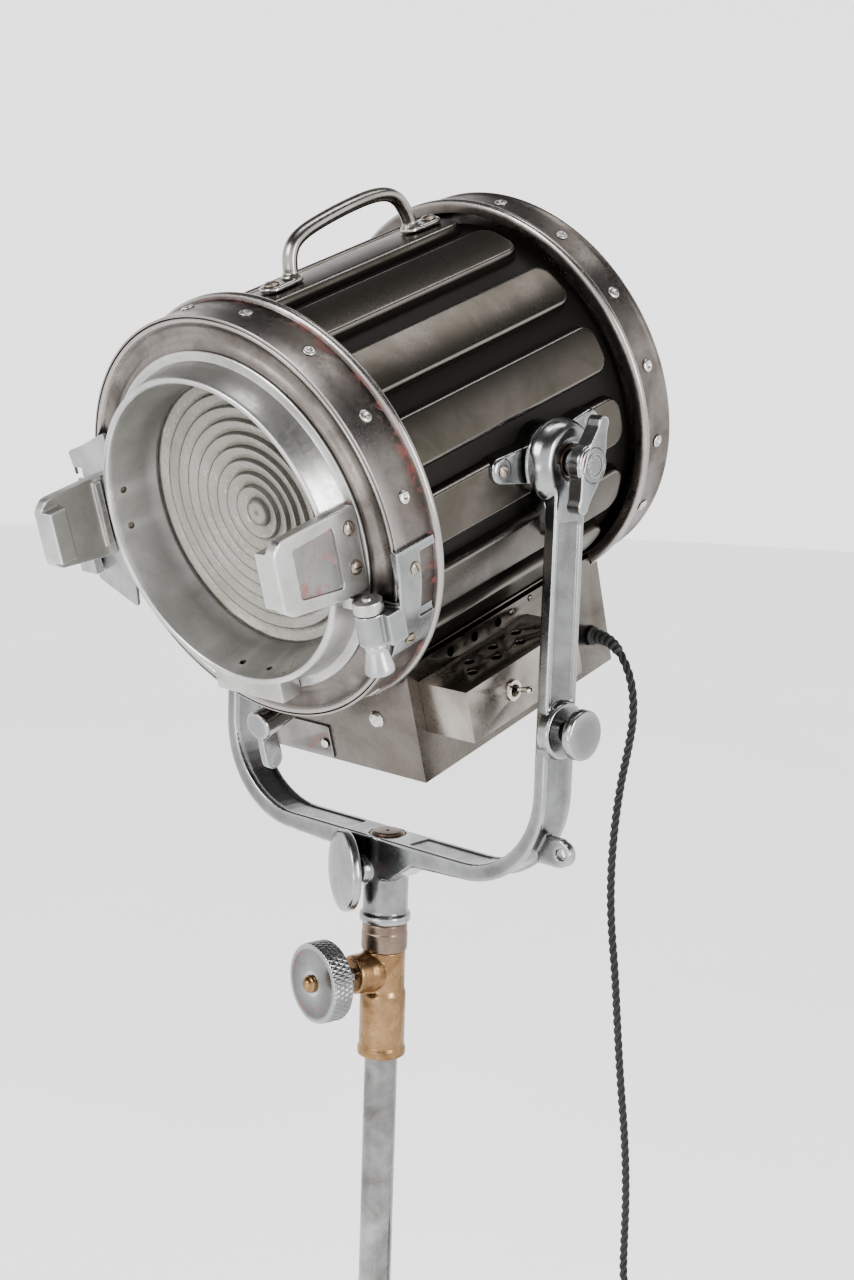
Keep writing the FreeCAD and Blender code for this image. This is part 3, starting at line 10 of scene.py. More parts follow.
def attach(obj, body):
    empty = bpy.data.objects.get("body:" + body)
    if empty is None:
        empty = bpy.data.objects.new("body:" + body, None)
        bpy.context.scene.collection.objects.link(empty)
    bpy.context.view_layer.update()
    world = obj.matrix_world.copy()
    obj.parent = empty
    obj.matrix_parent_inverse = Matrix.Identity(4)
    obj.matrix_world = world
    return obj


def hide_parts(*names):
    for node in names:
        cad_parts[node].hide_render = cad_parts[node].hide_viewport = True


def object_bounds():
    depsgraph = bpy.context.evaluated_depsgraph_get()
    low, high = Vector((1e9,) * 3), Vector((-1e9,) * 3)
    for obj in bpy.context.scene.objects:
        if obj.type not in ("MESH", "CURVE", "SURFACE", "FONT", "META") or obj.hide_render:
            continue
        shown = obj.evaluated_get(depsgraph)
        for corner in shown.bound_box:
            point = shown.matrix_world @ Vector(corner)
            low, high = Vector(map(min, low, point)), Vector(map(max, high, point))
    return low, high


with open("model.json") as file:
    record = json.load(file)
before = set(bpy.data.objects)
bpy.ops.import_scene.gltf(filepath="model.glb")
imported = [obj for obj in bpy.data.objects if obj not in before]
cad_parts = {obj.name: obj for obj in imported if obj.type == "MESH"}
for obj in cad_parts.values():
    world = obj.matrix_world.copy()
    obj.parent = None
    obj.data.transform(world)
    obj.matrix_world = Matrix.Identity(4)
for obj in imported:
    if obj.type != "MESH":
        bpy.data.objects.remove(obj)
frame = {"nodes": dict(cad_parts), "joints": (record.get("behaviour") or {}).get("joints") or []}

# A vintage fresnel spotlight. Metres, in the frame of the CAD model: +Z up along the stand's riser.
# Most sizes are written in millimetres, as on a drawing, and pass through MM. The head's own frame
# has its origin on the tilt axis, +X along it, and the lamp looks along its -Y.

CAD_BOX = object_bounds()
MM = 0.001
JOINTS = {joint["name"]: joint for joint in frame["joints"]}
TILT_AXIS = Vector(JOINTS["tilt"]["pos_m"])
NOSE_DOWN = math.radians(16.7)
HEAD = Matrix.Translation(TILT_AXIS) @ Matrix.Rotation(NOSE_DOWN, 4, "X")
CROSSBAR_HEIGHT = 480
TILT_RISE = 371
CROSSBAR = Matrix.Translation((0, 0, CROSSBAR_HEIGHT * MM))
STAND = Matrix.Identity(4)

AXIS_TURN = {
    "Z": Matrix.Identity(4),
    "X": Matrix.Rotation(math.pi / 2, 4, "Y"),
    "-X": Matrix.Rotation(-math.pi / 2, 4, "Y"),
    "Y": Matrix.Rotation(-math.pi / 2, 4, "X"),
    "-Y": Matrix.Rotation(math.pi / 2, 4, "X"),
    "-Z": Matrix.Rotation(math.pi, 4, "X"),
}


# The object's right and left, as (sign of X, axis that points out).
BOTH_SIDES = ((1, "X"), (-1, "-X"))


def place(at=(0, 0, 0), axis="Z"):
    """A frame at a point in millimetres, its local Z along the named axis or turned by a matrix."""
    turn = AXIS_TURN[axis] if isinstance(axis, str) else axis
    return Matrix.Translation(Vector(at) * MM) @ turn


def along_axis(axis):
    """A frame at the drawing's own origin, its local Z along the named axis."""
    return place((0, 0, 0), axis)


# Turns a flat outline's (x, y) to (y, z), raised along X.
OUTLINE_YZ = Matrix(((0, 0, 1, 0), (1, 0, 0, 0), (0, 1, 0, 0), (0, 0, 0, 1)))


def outline_xz(y):
    """Turns a flat outline's (x, y) to (x, z), raised along Y from a start."""
    return Matrix(((1, 0, 0, 0), (0, 0, 1, y * MM), (0, 1, 0, 0), (0, 0, 0, 1)))


def outwards(turn):
    """Local Z along -Y turned about +Z, for the radial hand screws."""
    return Matrix.Rotation(math.radians(turn), 4, "Z") @ AXIS_TURN["-Y"]


def around_barrel(angle, radius, y):
    """Local Z pointing out of the barrel, at an angle from the top towards +X."""
    spin = Matrix.Rotation(math.radians(angle), 4, "Y")
    return spin @ Matrix.Translation((0, y * MM, radius * MM))


# The frames that several parts share: the barrel's axis and the hand screws' axes.
BARREL_AXIS = along_axis("Y")
CLAMP_AXIS = place((0, 0, 346), outwards(-10.7))
PAN_LOCK_AXIS = place((0, 0, -34), outwards(-27.7))
ARM_KNOB_AXIS = place((0, 0, 137), "X")
SAFETY_EAR_AXIS = place((212, 0, 27), "Y")


# ---- shapes ----------------------------------------------------------------------------------

def smooth_step(value):
    value = min(max(value, 0.0), 1.0)
    return value * value * (3 - 2 * value)


def rounded(points, radius, closed=False, steps=4):
    """Round the corners of an outline with short arcs."""
    result = []
    count = len(points)
    for index, point in enumerate(points):
        corner = Vector(point)
        if not closed and index in (0, count - 1):
            result.append(tuple(corner))
            continue
        before = Vector(points[index - 1])
        after = Vector(points[(index + 1) % count])
        back = min(radius, 0.45 * (before - corner).length)
        ahead = min(radius, 0.45 * (after - corner).length)
        start = corner + (before - corner).normalized() * back
        end = corner + (after - corner).normalized() * ahead
        for step in range(steps + 1):
            part = step / steps
            result.append(tuple(start.lerp(corner, part).lerp(corner.lerp(end, part), part)))
    return result


def circle(radius, count=32, centre=(0, 0)):
    return [(centre[0] + radius * math.cos(2 * math.pi * i / count),
             centre[1] + radius * math.sin(2 * math.pi * i / count)) for i in range(count)]


def lathe(profile, frame_at=None, segments=128, closed=False, radius_at=None):
    """Turn (along, radius) about local Z. closed joins the profile's last point to its first."""
    shape = bmesh.new()
    rows = []
    for along, radius in profile:
        if radius < 1e-6:
            rows.append([shape.verts.new((0, 0, along * MM))])
            continue
        row = []
        for index in range(segments):
            angle = 2 * math.pi * index / segments
            reach = radius if radius_at is None else radius_at(angle, along, radius)
            row.append(shape.verts.new((reach * MM * math.cos(angle), reach * MM * math.sin(angle),
                                        along * MM)))
        rows.append(row)
    pairs = list(zip(rows, rows[1:]))
    if closed:
        pairs.append((rows[-1], rows[0]))
    for lower, upper in pairs:
        for index in range(segments):
            after = (index + 1) % segments
            corners = [lower[index % len(lower)], lower[after % len(lower)],
                       upper[after % len(upper)], upper[index % len(upper)]]
            corners = list(dict.fromkeys(corners))
            if len(corners) > 2:
                shape.faces.new(corners)
    return finished(shape, frame_at)


def prism(outline, low, high):
    """A flat outline in XY raised from low to high along Z."""
    shape = bmesh.new()
    bottom = [shape.verts.new((x * MM, y * MM, low * MM)) for x, y in outline]
    top = [shape.verts.new((x * MM, y * MM, high * MM)) for x, y in outline]
    shape.faces.new(list(reversed(bottom)))
    shape.faces.new(top)
    for index in range(len(outline)):
        after = (index + 1) % len(outline)
        shape.faces.new([bottom[index], bottom[after], top[after], top[index]])
    return finished(shape)


def slab(low, high):
    """A box between two corners."""
    outline = [(low[0], low[1]), (high[0], low[1]), (high[0], high[1]), (low[0], high[1])]
    return prism(outline, low[2], high[2])


def rod(radius, start, end, frame_at=None, segments=48, tip=0.0):
    """A round bar along local Z with softened ends."""
    profile = [(start, 0), (start, radius - tip), (start + tip, radius), (end - tip, radius),
               (end, radius - tip), (end, 0)]
    return lathe(profile, frame_at, segments)


def hull(*points):
    """The convex shape round some points in millimetres."""
    shape = bmesh.new()
    for point in points:
        shape.verts.new(Vector(point) * MM)
    made = bmesh.ops.convex_hull(shape, input=shape.verts)
    inner = [item for item in made["geom_interior"] if isinstance(item, bmesh.types.BMVert)]
    bmesh.ops.delete(shape, geom=inner, context="VERTS")
    return finished(shape)


def disc_points(centre, radius):
    """Points round a circle that faces along X."""
    turn = AXIS_TURN["X"].to_3x3()
    return [tuple(Vector(centre) + turn @ Vector((x, y, 0))) for x, y in circle(radius, 24)]


def sweep(path, section, up=Vector((0, 1, 0))):
    """Carry a section (across up, along the other normal) down a path of points in millimetres."""
    shape = bmesh.new()
    rows = []
    points = [Vector(point) for point in path]
    for index, point in enumerate(points):
        before = points[max(index - 1, 0)]
        after = points[min(index + 1, len(points) - 1)]
        ahead = (after - before).normalized()
        side = (up - ahead * up.dot(ahead)).normalized()
        normal = ahead.cross(side)
        outline = section(index / (len(points) - 1)) if callable(section) else section
        rows.append([shape.verts.new((point + side * a + normal * b) * MM) for a, b in outline])
    for lower, upper in zip(rows, rows[1:]):
        for index in range(len(lower)):
            after = (index + 1) % len(lower)
            shape.faces.new([lower[index], lower[after], upper[after], upper[index]])
    shape.faces.new(list(reversed(rows[0])))
    shape.faces.new(rows[-1])
    return finished(shape)


def curve_points(points, steps=8):
    """A smooth line through some points."""
    vectors = [Vector(point) for point in points]
    line = []
    for index in range(len(vectors) - 1):
        first = vectors[max(index - 1, 0)]
        start = vectors[index]
        end = vectors[index + 1]
        last = vectors[min(index + 2, len(vectors) - 1)]
        for step in range(steps):
            part = step / steps
            line.append(0.5 * ((2 * start) + (end - first) * part
                               + (2 * first - 5 * start + 4 * end - last) * part ** 2
                               + (3 * start - first - 3 * end + last) * part ** 3))
    line.append(vectors[-1])
    return line


def finished(shape, frame_at=None):
    """Turn a bmesh into a mesh, with its faces outwards, in a frame if one is given."""
    if frame_at is not None:
        bmesh.ops.transform(shape, matrix=frame_at, verts=shape.verts)
    bmesh.ops.recalc_face_normals(shape, faces=shape.faces)
    mesh = bpy.data.meshes.new("shape")
    shape.to_mesh(mesh)
    shape.free()
    return mesh


def moved(mesh, matrix):
    copy = mesh.copy()
    copy.transform(matrix)
    return copy


def joined(meshes):
    shape = bmesh.new()
    for mesh in meshes:
        shape.from_mesh(mesh)
    result = bpy.data.meshes.new("joined")
    shape.to_mesh(result)
    shape.free()
    return result


# ---- making pieces ---------------------------------------------------------------------------

def with_modifiers(mesh, *settings):
    """The mesh after some modifiers, each (type, {property: value})."""
    item = bpy.data.objects.new("working", mesh)
    bpy.context.scene.collection.objects.link(item)
    for kind, values in settings:
        modifier = item.modifiers.new(kind, kind)
        for key, value in values.items():
            setattr(modifier, key, value)
    depsgraph = bpy.context.evaluated_depsgraph_get()
    result = bpy.data.meshes.new_from_object(item.evaluated_get(depsgraph))
    bpy.data.objects.remove(item)
    return result


def carved(mesh, cutters):
    """The mesh with the cutters' shapes taken out of it."""
    if not cutters:
        return mesh
    tool = bpy.data.objects.new("tool", joined(cutters))
    bpy.context.scene.collection.objects.link(tool)
    result = with_modifiers(mesh, ("BOOLEAN", {"operation": "DIFFERENCE", "object": tool,
                                               "solver": "EXACT"}))
    bpy.data.objects.remove(tool)
    return result


def cast(meshes, voxel=1.2, passes=4, cutters=()):
    """Melt overlapping shapes into one casting with soft edges, and cut the openings in it."""
    grain = voxel * 1.0
    body = with_modifiers(joined(meshes), ("REMESH", {"mode": "VOXEL", "voxel_size": grain * MM}))
    body = carved(body, cutters)
    return with_modifiers(body, ("SMOOTH", {"factor": 0.5, "iterations": passes}))


def bevelled(mesh, width, segments=2):
    """Break the edges that are sharper than 35 degrees."""
    return with_modifiers(mesh, ("BEVEL", {"width": width * MM, "segments": segments,
                                           "limit_method": "ANGLE", "angle_limit": math.radians(35),
                                           "harden_normals": False}))


def piece(name, mesh, material, body, stands_for=(), sharp=40, paint=None, matrix=HEAD):
    """Link a mesh as a piece of the object, riding on a body, in its material."""
    mesh.name = name
    if paint is not None:
        layer = mesh.attributes.new("paint", "FLOAT", "POINT")
        layer.data.foreach_set("value", [paint(vertex.co / MM) for vertex in mesh.vertices])
    mesh.transform(matrix)
    mesh.materials.clear()
    mesh.materials.append(material)
    mesh.polygons.foreach_set("use_smooth", [True] * len(mesh.polygons))
    mesh.set_sharp_from_angle(angle=math.radians(sharp))
    item = bpy.data.objects.new(name, mesh)
    bpy.context.scene.collection.objects.link(item)
    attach(item, body)
    if stands_for:
        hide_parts(*stands_for)
    return item


# ---- materials -------------------------------------------------------------------------------


class Nodes:
    """A small helper for building a material's nodes."""

    def __init__(self, name):
        self.material = bpy.data.materials.new(name)
        self.material.use_nodes = True
        self.tree = self.material.node_tree
        self.shader = self.tree.nodes["Principled BSDF"]
        self.where = self.add("ShaderNodeTexCoord").outputs["Object"]

    def add(self, kind, **values):
        node = self.tree.nodes.new(kind)
        for key, value in values.items():
            setattr(node, key, value)
        return node

    def link(self, source, target):
        self.tree.links.new(source, target)

    def stretched(self, scale):
        mapping = self.add("ShaderNodeMapping")
        mapping.inputs["Scale"].default_value = scale
        self.link(self.where, mapping.inputs["Vector"])
        return mapping.outputs["Vector"]

    def noise(self, scale, detail=4.0, roughness=0.55, stretch=None, distortion=0.0):
        node = self.add("ShaderNodeTexNoise")
        node.inputs["Scale"].default_value = scale
        node.inputs["Detail"].default_value = detail
        node.inputs["Roughness"].default_value = roughness
        node.inputs["Distortion"].default_value = distortion
        self.link(self.stretched(stretch) if stretch else self.where, node.inputs["Vector"])
        return node.outputs["Fac"]

    def spots(self, scale):
        node = self.add("ShaderNodeTexVoronoi")
        node.inputs["Scale"].default_value = scale
        self.link(self.where, node.inputs["Vector"])
        return node.outputs["Distance"]

    def span(self, source, low, high, to_low=0.0, to_high=1.0):
        node = self.add("ShaderNodeMapRange")
        for socket, value in zip(("From Min", "From Max", "To Min", "To Max"),
                                 (low, high, to_low, to_high)):
            node.inputs[socket].default_value = value
        self.link(source, node.inputs["Value"])
        return node.outputs["Result"]

    def math(self, operation, first, second):
        node = self.add("ShaderNodeMath", operation=operation)
        for socket, value in zip(node.inputs, (first, second)):
            if isinstance(value, (int, float)):
                socket.default_value = value
            else:
                self.link(value, socket)
        return node.outputs["Value"]

    def mix(self, factor, first, second):
        node = self.add("ShaderNodeMix", data_type="RGBA")
        for socket, value in zip((node.inputs[0], node.inputs[6], node.inputs[7]),
                                 (factor, first, second)):
            if isinstance(value, tuple):
                socket.default_value = (*value, 1.0)
            elif isinstance(value, (int, float)):
                socket.default_value = value
            else:
                self.link(value, socket)
        return node.outputs[2]

    def bump(self, height, strength, distance, before=None):
        node = self.add("ShaderNodeBump")
        node.inputs["Strength"].default_value = strength
        node.inputs["Distance"].default_value = distance
        self.link(height, node.inputs["Height"])
        if before is not None:
            self.link(before, node.inputs["Normal"])
        return node.outputs["Normal"]

    def wire(self, **sockets):
        for name, value in sockets.items():
            socket = self.shader.inputs[name.replace("_", " ")]
            if isinstance(value, (int, float)):
                socket.default_value = value
            elif isinstance(value, tuple):
                socket.default_value = (*value, 1.0)
            else:
                self.link(value, socket)
        return self.material


def worn_metal(name, bright, dull, smooth, rough, pits=0.25, paint=None, brushed=None, blotch=14.0,
               grain=1.0):
    """Bare metal: broad mottling, grain, scratches, pits; in recesses old red paint over painted shade,
    or painted shade alone; lighter edges, partly wear and partly painted highlight.
    """
    make = Nodes(name)
    broad = make.noise(blotch, 5.0, 0.6, distortion=0.4)
    fine = make.noise(230.0, 3.0, 0.6)
    mottled = make.mix(make.span(broad, 0.36, 0.66), bright, dull)
    specks = make.span(make.noise(620.0, 2.0, 0.7), 0.64, 0.72)
    shade = make.mix(make.math("MULTIPLY", specks, pits), mottled, tuple(part * 0.25 for part in dull))
    roughness = make.math("ADD", make.span(broad, 0.3, 0.7, smooth, rough),
                          make.span(fine, 0.3, 0.7, -0.04 * grain, 0.05 * grain))
    scratch = make.noise(90.0, 6.0, 0.75, stretch=brushed or (1.0, 0.16, 1.0), distortion=0.2)
    normal = make.bump(scratch, 0.06 * grain, 0.0005)
    normal = make.bump(fine, 0.07 * grain, 0.0003, normal)
    normal = make.bump(make.math("MULTIPLY", specks, -1.0), 0.4 * pits, 0.0004, normal)
    if paint is None:
        make.shader.inputs["Metallic"].default_value = 1.0
        return make.wire(Base_Color=shade, Roughness=roughness, Normal=normal)
    recess = make.add("ShaderNodeAttribute", attribute_name="paint").outputs["Fac"]
    flakes = make.span(make.noise(55.0, 7.0, 0.7, distortion=0.5), 0.50, 0.60)
    red = make.math("MULTIPLY", flakes, make.span(recess, 0.25, 1.0)) if paint == "red" else None
    # Outer edges lighter and smoother: partly real wear, partly a painted highlight.
    wear_and_highlight = make.span(recess, 0.0, -1.0, 0.0, 0.85)
    shade = make.mix(wear_and_highlight, shade, tuple(min(part * 1.25 + 0.16, 0.75) for part in bright))
    roughness = make.math("MULTIPLY", roughness, make.span(wear_and_highlight, 0.0, 1.0, 1.0, 0.75))
    if red is None:
        # Recesses (the ribs' grooves) coloured towards near black: painted shade.
        groove_shade = make.span(recess, 0.0, 0.5)
        colour = make.mix(groove_shade, shade, (0.020, 0.018, 0.015))
        metallic = make.span(groove_shade, 0.0, 1.0, 1.0, 0.45)
        make.shader.inputs["Specular IOR Level"].default_value = 0.25
        roughness = make.math("ADD", roughness, make.span(groove_shade, 0.0, 1.0, 0.0, 0.2))
        return make.wire(Base_Color=colour, Metallic=metallic, Roughness=roughness, Normal=normal)
    # Recesses darkened towards the dull colour: painted shade, with red paint flakes laid over it.
    recess_shade = make.mix(make.span(recess, 0.05, 0.8, 0.0, 0.5), shade, tuple(part * 0.3 for part in dull))
    colour = make.mix(make.math("MULTIPLY", red, 0.55), recess_shade, (0.30, 0.070, 0.060))
    metallic = make.span(red, 0.0, 1.0, 1.0, 0.35)
    roughness = make.math("ADD", roughness, make.span(red, 0.0, 1.0, 0.0, 0.28))
    return make.wire(Base_Color=colour, Metallic=metallic, Roughness=roughness, Normal=normal)


def plain_stuff(name, colour, second, roughness):
    """Rubber or ceramic: a fine grain over two close shades."""
    grain = 300.0
    depth = 0.2
    make = Nodes(name)
    shade = make.mix(make.span(make.noise(grain * 0.12), 0.3, 0.7), colour, second)
    make.shader.inputs["Metallic"].default_value = 0.0
    return make.wire(Base_Color=shade,
                     Roughness=make.span(make.noise(grain), 0.3, 0.7, roughness - 0.06, roughness + 0.08),
                     Normal=make.bump(make.noise(grain), depth, 0.0004))


def lens_glass():
    """Pressed glass, stippled behind, a little warm and dusty between the rings, with painted shade on
    the ring risers.
    """
    make = Nodes("lens_glass")
    stipple = make.spots(330.0)
    dust = make.span(make.noise(30.0, 5.0, 0.65), 0.35, 0.7)
    colour = make.mix(dust, (0.93, 0.91, 0.84), (0.76, 0.73, 0.62))
    # The ring risers are coloured near black: painted shade.
    riser = make.add("ShaderNodeAttribute", attribute_name="paint").outputs["Fac"]
    colour = make.mix(make.math("MULTIPLY", riser, 0.85), colour, (0.03, 0.03, 0.027))
    make.shader.inputs["IOR"].default_value = 1.47
    make.shader.inputs["Transmission Weight"].default_value = 0.74
    return make.wire(Base_Color=colour, Roughness=make.span(dust, 0.0, 1.0, 0.03, 0.12),
                     Normal=make.bump(stipple, 0.26, 0.0012))


def clear_glass():
    make = Nodes("lamp_glass")
    make.shader.inputs["IOR"].default_value = 1.45
    make.shader.inputs["Transmission Weight"].default_value = 0.9
    return make.wire(Base_Color=(0.94, 0.94, 0.92),
                     Roughness=make.span(make.noise(40.0), 0.3, 0.7, 0.03, 0.10))


def cloth_cord():
    """Braided black cotton over each core."""
    make = Nodes("cord_cloth")
    weave = make.math("MULTIPLY", make.span(make.spots(1500.0), 0.0, 0.6),
                      make.span(make.noise(900.0, 2.0), 0.2, 0.8))
    colour = make.mix(weave, (0.009, 0.010, 0.011), (0.040, 0.043, 0.046))
    make.shader.inputs["Sheen Weight"].default_value = 0.15
    make.shader.inputs["Sheen Roughness"].default_value = 0.5
    return make.wire(Base_Color=colour, Roughness=0.78, Normal=make.bump(weave, 0.6, 0.0006))


ALUMINIUM = worn_metal("cast_aluminium", (0.335, 0.340, 0.343), (0.170, 0.170, 0.168), 0.15, 0.30,
                       pits=0.35, paint="red")
DOOR_ALUMINIUM = worn_metal("door_aluminium", (0.56, 0.56, 0.545), (0.37, 0.365, 0.35), 0.27, 0.45,
                            pits=0.5, paint="red", blotch=16.0)
# Its grooves are coloured near black: painted shade.
RIB_STEEL = worn_metal("rib_steel", (0.135, 0.122, 0.108), (0.082, 0.075, 0.060), 0.25, 0.34,
                       pits=0.3, brushed=(1.0, 0.08, 1.0), paint="groove_shade", grain=0.3)
BAND_STEEL = worn_metal("band_steel", (0.230, 0.210, 0.195), (0.115, 0.100, 0.090), 0.24, 0.42,
                        pits=0.7, paint="red", blotch=22.0)
BOX_STEEL = worn_metal("box_steel", (0.190, 0.172, 0.155), (0.112, 0.098, 0.084), 0.20, 0.32, pits=0.6)
SWITCH_STEEL = worn_metal("switch_box_steel", (0.40, 0.37, 0.335), (0.235, 0.21, 0.185), 0.24, 0.40,
                          pits=0.4)
PLATE_STEEL = worn_metal("plate_steel", (0.50, 0.50, 0.51), (0.28, 0.275, 0.27), 0.24, 0.40, pits=0.5)
POLISHED = worn_metal("polished_steel", (0.60, 0.59, 0.58), (0.34, 0.32, 0.30), 0.14, 0.30,
                      brushed=(1.0, 1.0, 0.1))
RIVET_METAL = worn_metal("rivet_metal", (0.68, 0.67, 0.64), (0.42, 0.40, 0.37), 0.22, 0.38, pits=0.3)
SCREW_METAL = worn_metal("screw_metal", (0.40, 0.36, 0.31), (0.20, 0.15, 0.11), 0.28, 0.45)
BRASS = worn_metal("brass", (0.36, 0.235, 0.130), (0.165, 0.100, 0.050), 0.22, 0.38, pits=0.9,
                   blotch=34.0)
BRONZE = worn_metal("aged_bronze", (0.25, 0.195, 0.160), (0.125, 0.088, 0.066), 0.22, 0.42, blotch=26.0)
RISER_STEEL = worn_metal("riser_steel", (0.34, 0.335, 0.33), (0.11, 0.108, 0.105), 0.10, 0.26,
                         pits=0.3, brushed=(1.0, 1.0, 0.05), blotch=17.0)
CHROME = worn_metal("chrome", (0.72, 0.70, 0.66), (0.55, 0.52, 0.47), 0.06, 0.16, pits=0.1)
MIRROR = worn_metal("mirror", (0.86, 0.86, 0.85), (0.72, 0.72, 0.70), 0.03, 0.10, pits=0.1)
CERAMIC = plain_stuff("ceramic", (0.72, 0.69, 0.62), (0.58, 0.54, 0.47), 0.6)
RUBBER = plain_stuff("black_rubber", (0.020, 0.020, 0.021), (0.040, 0.039, 0.037), 0.55)
LENS_GLASS = lens_glass()
LAMP_GLASS = clear_glass()
CORD_CLOTH = cloth_cord()


def slotted_head(radius, height, angle, domed=0.6):
    """A slotted screw's head, standing on local XY."""
    profile = [(0, 0), (0, radius), (height * (1 - domed), radius), (height * 0.85, radius * 0.72),
               (height, radius * 0.4), (height, 0)]
    head = lathe(rounded(profile, 0.5, steps=2), segments=28)
    width = radius * 0.13
    slot = slab((-radius * 1.2, -width, height * 0.45), (radius * 1.2, width, height * 2))
    return moved(carved(head, [slot]), Matrix.Rotation(math.radians(angle), 4, "Z"))


def tubular_rivet():
    """A flat rivet with a set hole in its middle."""
    return lathe([(0, 0), (0, 5.6), (0.5, 5.9), (1.1, 5.6), (1.7, 4.3), (2.0, 3.2), (1.7, 2.2),
                  (0.6, 1.6), (0.5, 0)], segments=28)


# ---- camera ----------------------------------------------------------------------------------

def make_camera():
    """The photographer stood to the right of the lens, a little above it, and looked down."""
    turned_left = 42.198
    dipped = 11.272
    rolled = 1.84
    data = bpy.data.cameras.new("camera")
    data.lens = 62.9
    data.sensor_width = 36.0
    data.clip_start = 0.05
    item = bpy.data.objects.new("camera", data)
    bpy.context.scene.collection.objects.link(item)
    turn = (Matrix.Rotation(math.radians(turned_left), 4, "Z")
            @ Matrix.Rotation(math.radians(90 - dipped), 4, "X")
            @ Matrix.Rotation(math.radians(rolled), 4, "Z"))
    item.matrix_world = Matrix.Translation((1.38745, -1.48349, 1.07096)) @ turn
    bpy.context.scene.camera = item


make_camera()


# ---- the lead --------------------------------------------------------------------------------

EXIT = HEAD @ Vector((107.1 * MM, 109 * MM, -228 * MM))
ROUTE_STEPS = ((0, 0, 0), (13, 0, 0), (29, 2, -14), (39, 6, -40), (39, 11, -72), (30, 17, -106),
               (18, 23, -146), (9.5, 28, -192), (5, 32, -240), (5.5, 35, -288), (12, 38, -344),
               (15, 42, -398), (20, 45, -456), (27, 48, -516), (30, 51, -576), (29, 53, -632),
               (30, 53, -668), (39, 53, -697), (52, 53, -713))
TAIL_STEPS = ((-31, 0, -53), (-51, 1, -56), (-68, 3, -69), (-76, 5, -92), (-76, 6, -116))
ROUTE = [EXIT + Vector(step) * MM for step in ROUTE_STEPS]
COIL_CENTRE = ROUTE[-1] + Vector((-34, 0, -29)) * MM
TAIL = [COIL_CENTRE + Vector(step) * MM for step in TAIL_STEPS]
CORD_RADIUS = 4.25 * MM
COIL_RADIUS = 44 * MM
TURNS = 7
POINTS_A_TURN = 16


def coil_points():
    """Turns packed as one in the middle and six round it, wound clockwise from the front.

    They end about 120 degrees of the ring beyond the tail's start, so the lead turns back there.
    """
    points = []
    entry = 40.0
    sweep_angle = TURNS * 360.0 - 80.0
    count = int(POINTS_A_TURN * sweep_angle / 360)
    for index in range(count + 1):
        along = index / count
        turn = min(along * TURNS, TURNS - 1e-6)
        layer = int(turn)
        ease = smooth_step((turn - layer - 0.80) / 0.20)
        spots = []
        for number in (layer, min(layer + 1, TURNS - 1)):
            angle = math.radians(60 * (number - 1))
            reach = 0.0 if number == 0 else 2 * CORD_RADIUS
            spots.append(Vector((reach * math.cos(angle), reach * math.sin(angle))))
        spot = spots[0].lerp(spots[1], ease)
        angle = math.radians(entry - sweep_angle * along)
        radius = COIL_RADIUS + spot.x
        points.append(COIL_CENTRE + Vector((radius * math.cos(angle), spot.y,
                                            radius * math.sin(angle))))
    return points


def lead_line():
    """The lead's own line: one NURBS through the route, the coil and the tail, as a list of points."""
    controls = ROUTE[:-1] + coil_points() + TAIL[1:]
    curve = bpy.data.curves.new("lead_line", "CURVE")
    curve.dimensions = "3D"
    curve.resolution_u = 8
    spline = curve.splines.new("NURBS")
    spline.points.add(len(controls) - 1)
    for point, control in zip(spline.points, controls):
        point.co = (*control, 1.0)
    spline.order_u = 3
    spline.use_endpoint_u = True
    item = bpy.data.objects.new("lead_line", curve)
    bpy.context.scene.collection.objects.link(item)
    mesh = bpy.data.meshes.new_from_object(item)
    line = [vertex.co.copy() for vertex in mesh.vertices]
    bpy.data.objects.remove(item)
    return line


def evenly(line, gap):
    """The same line with its points a set distance apart along it."""
    result = [line[0]]
    left = gap
    for start, end in zip(line, line[1:]):
        length = (end - start).length
        done = 0.0
        while length - done >= left:
            done += left
            result.append(start.lerp(end, done / length))
            left = gap
        left -= length - done
    return result


def twisted(line, strands, offset, radius, pitch):
    """Round strands twisted about a line, as one mesh in metres."""
    sides = 10
    shape = bmesh.new()
    normal = Vector((0, 1, 0))
    frames = []
    travelled = 0.0
    for index, point in enumerate(line):
        ahead = (line[min(index + 1, len(line) - 1)] - line[max(index - 1, 0)]).normalized()
        normal = (normal - ahead * normal.dot(ahead)).normalized()
        if index:
            travelled += (point - line[index - 1]).length
        frames.append((point, normal.copy(), ahead.cross(normal), travelled))
    for strand in range(strands):
        rows = []
        for point, normal, across, travelled in frames:
            angle = 2 * math.pi * (strand / strands + travelled / pitch)
            centre = point + (normal * math.cos(angle) + across * math.sin(angle)) * offset
            row = []
            for side in range(sides):
                turn = 2 * math.pi * side / sides
                out = normal * math.cos(turn) + across * math.sin(turn)
                row.append(shape.verts.new(centre + out * radius))
            rows.append(row)
        for lower, upper in zip(rows, rows[1:]):
            for side in range(sides):
                after = (side + 1) % sides
                shape.faces.new([lower[side], lower[after], upper[after], upper[side]])
        shape.faces.new(list(reversed(rows[0])))
        shape.faces.new(rows[-1])
    return finished(shape)


def make_lead():
    line = evenly(lead_line(), 2.4 * MM)
    length = sum((after - before).length for before, after in zip(line, line[1:]))
    strand = 1.97 * MM
    mesh = twisted(line, strands=3, offset=CORD_RADIUS - strand, radius=strand, pitch=28 * MM)
    lead = piece("lead_cord", mesh, CORD_CLOTH, "lead", ("cord", "cord_coil"), sharp=60, matrix=STAND)
    relief_sleeve(line)
    tie = coil_tie()
    body, pins = make_plug()
    [tuple(point) for point in line]


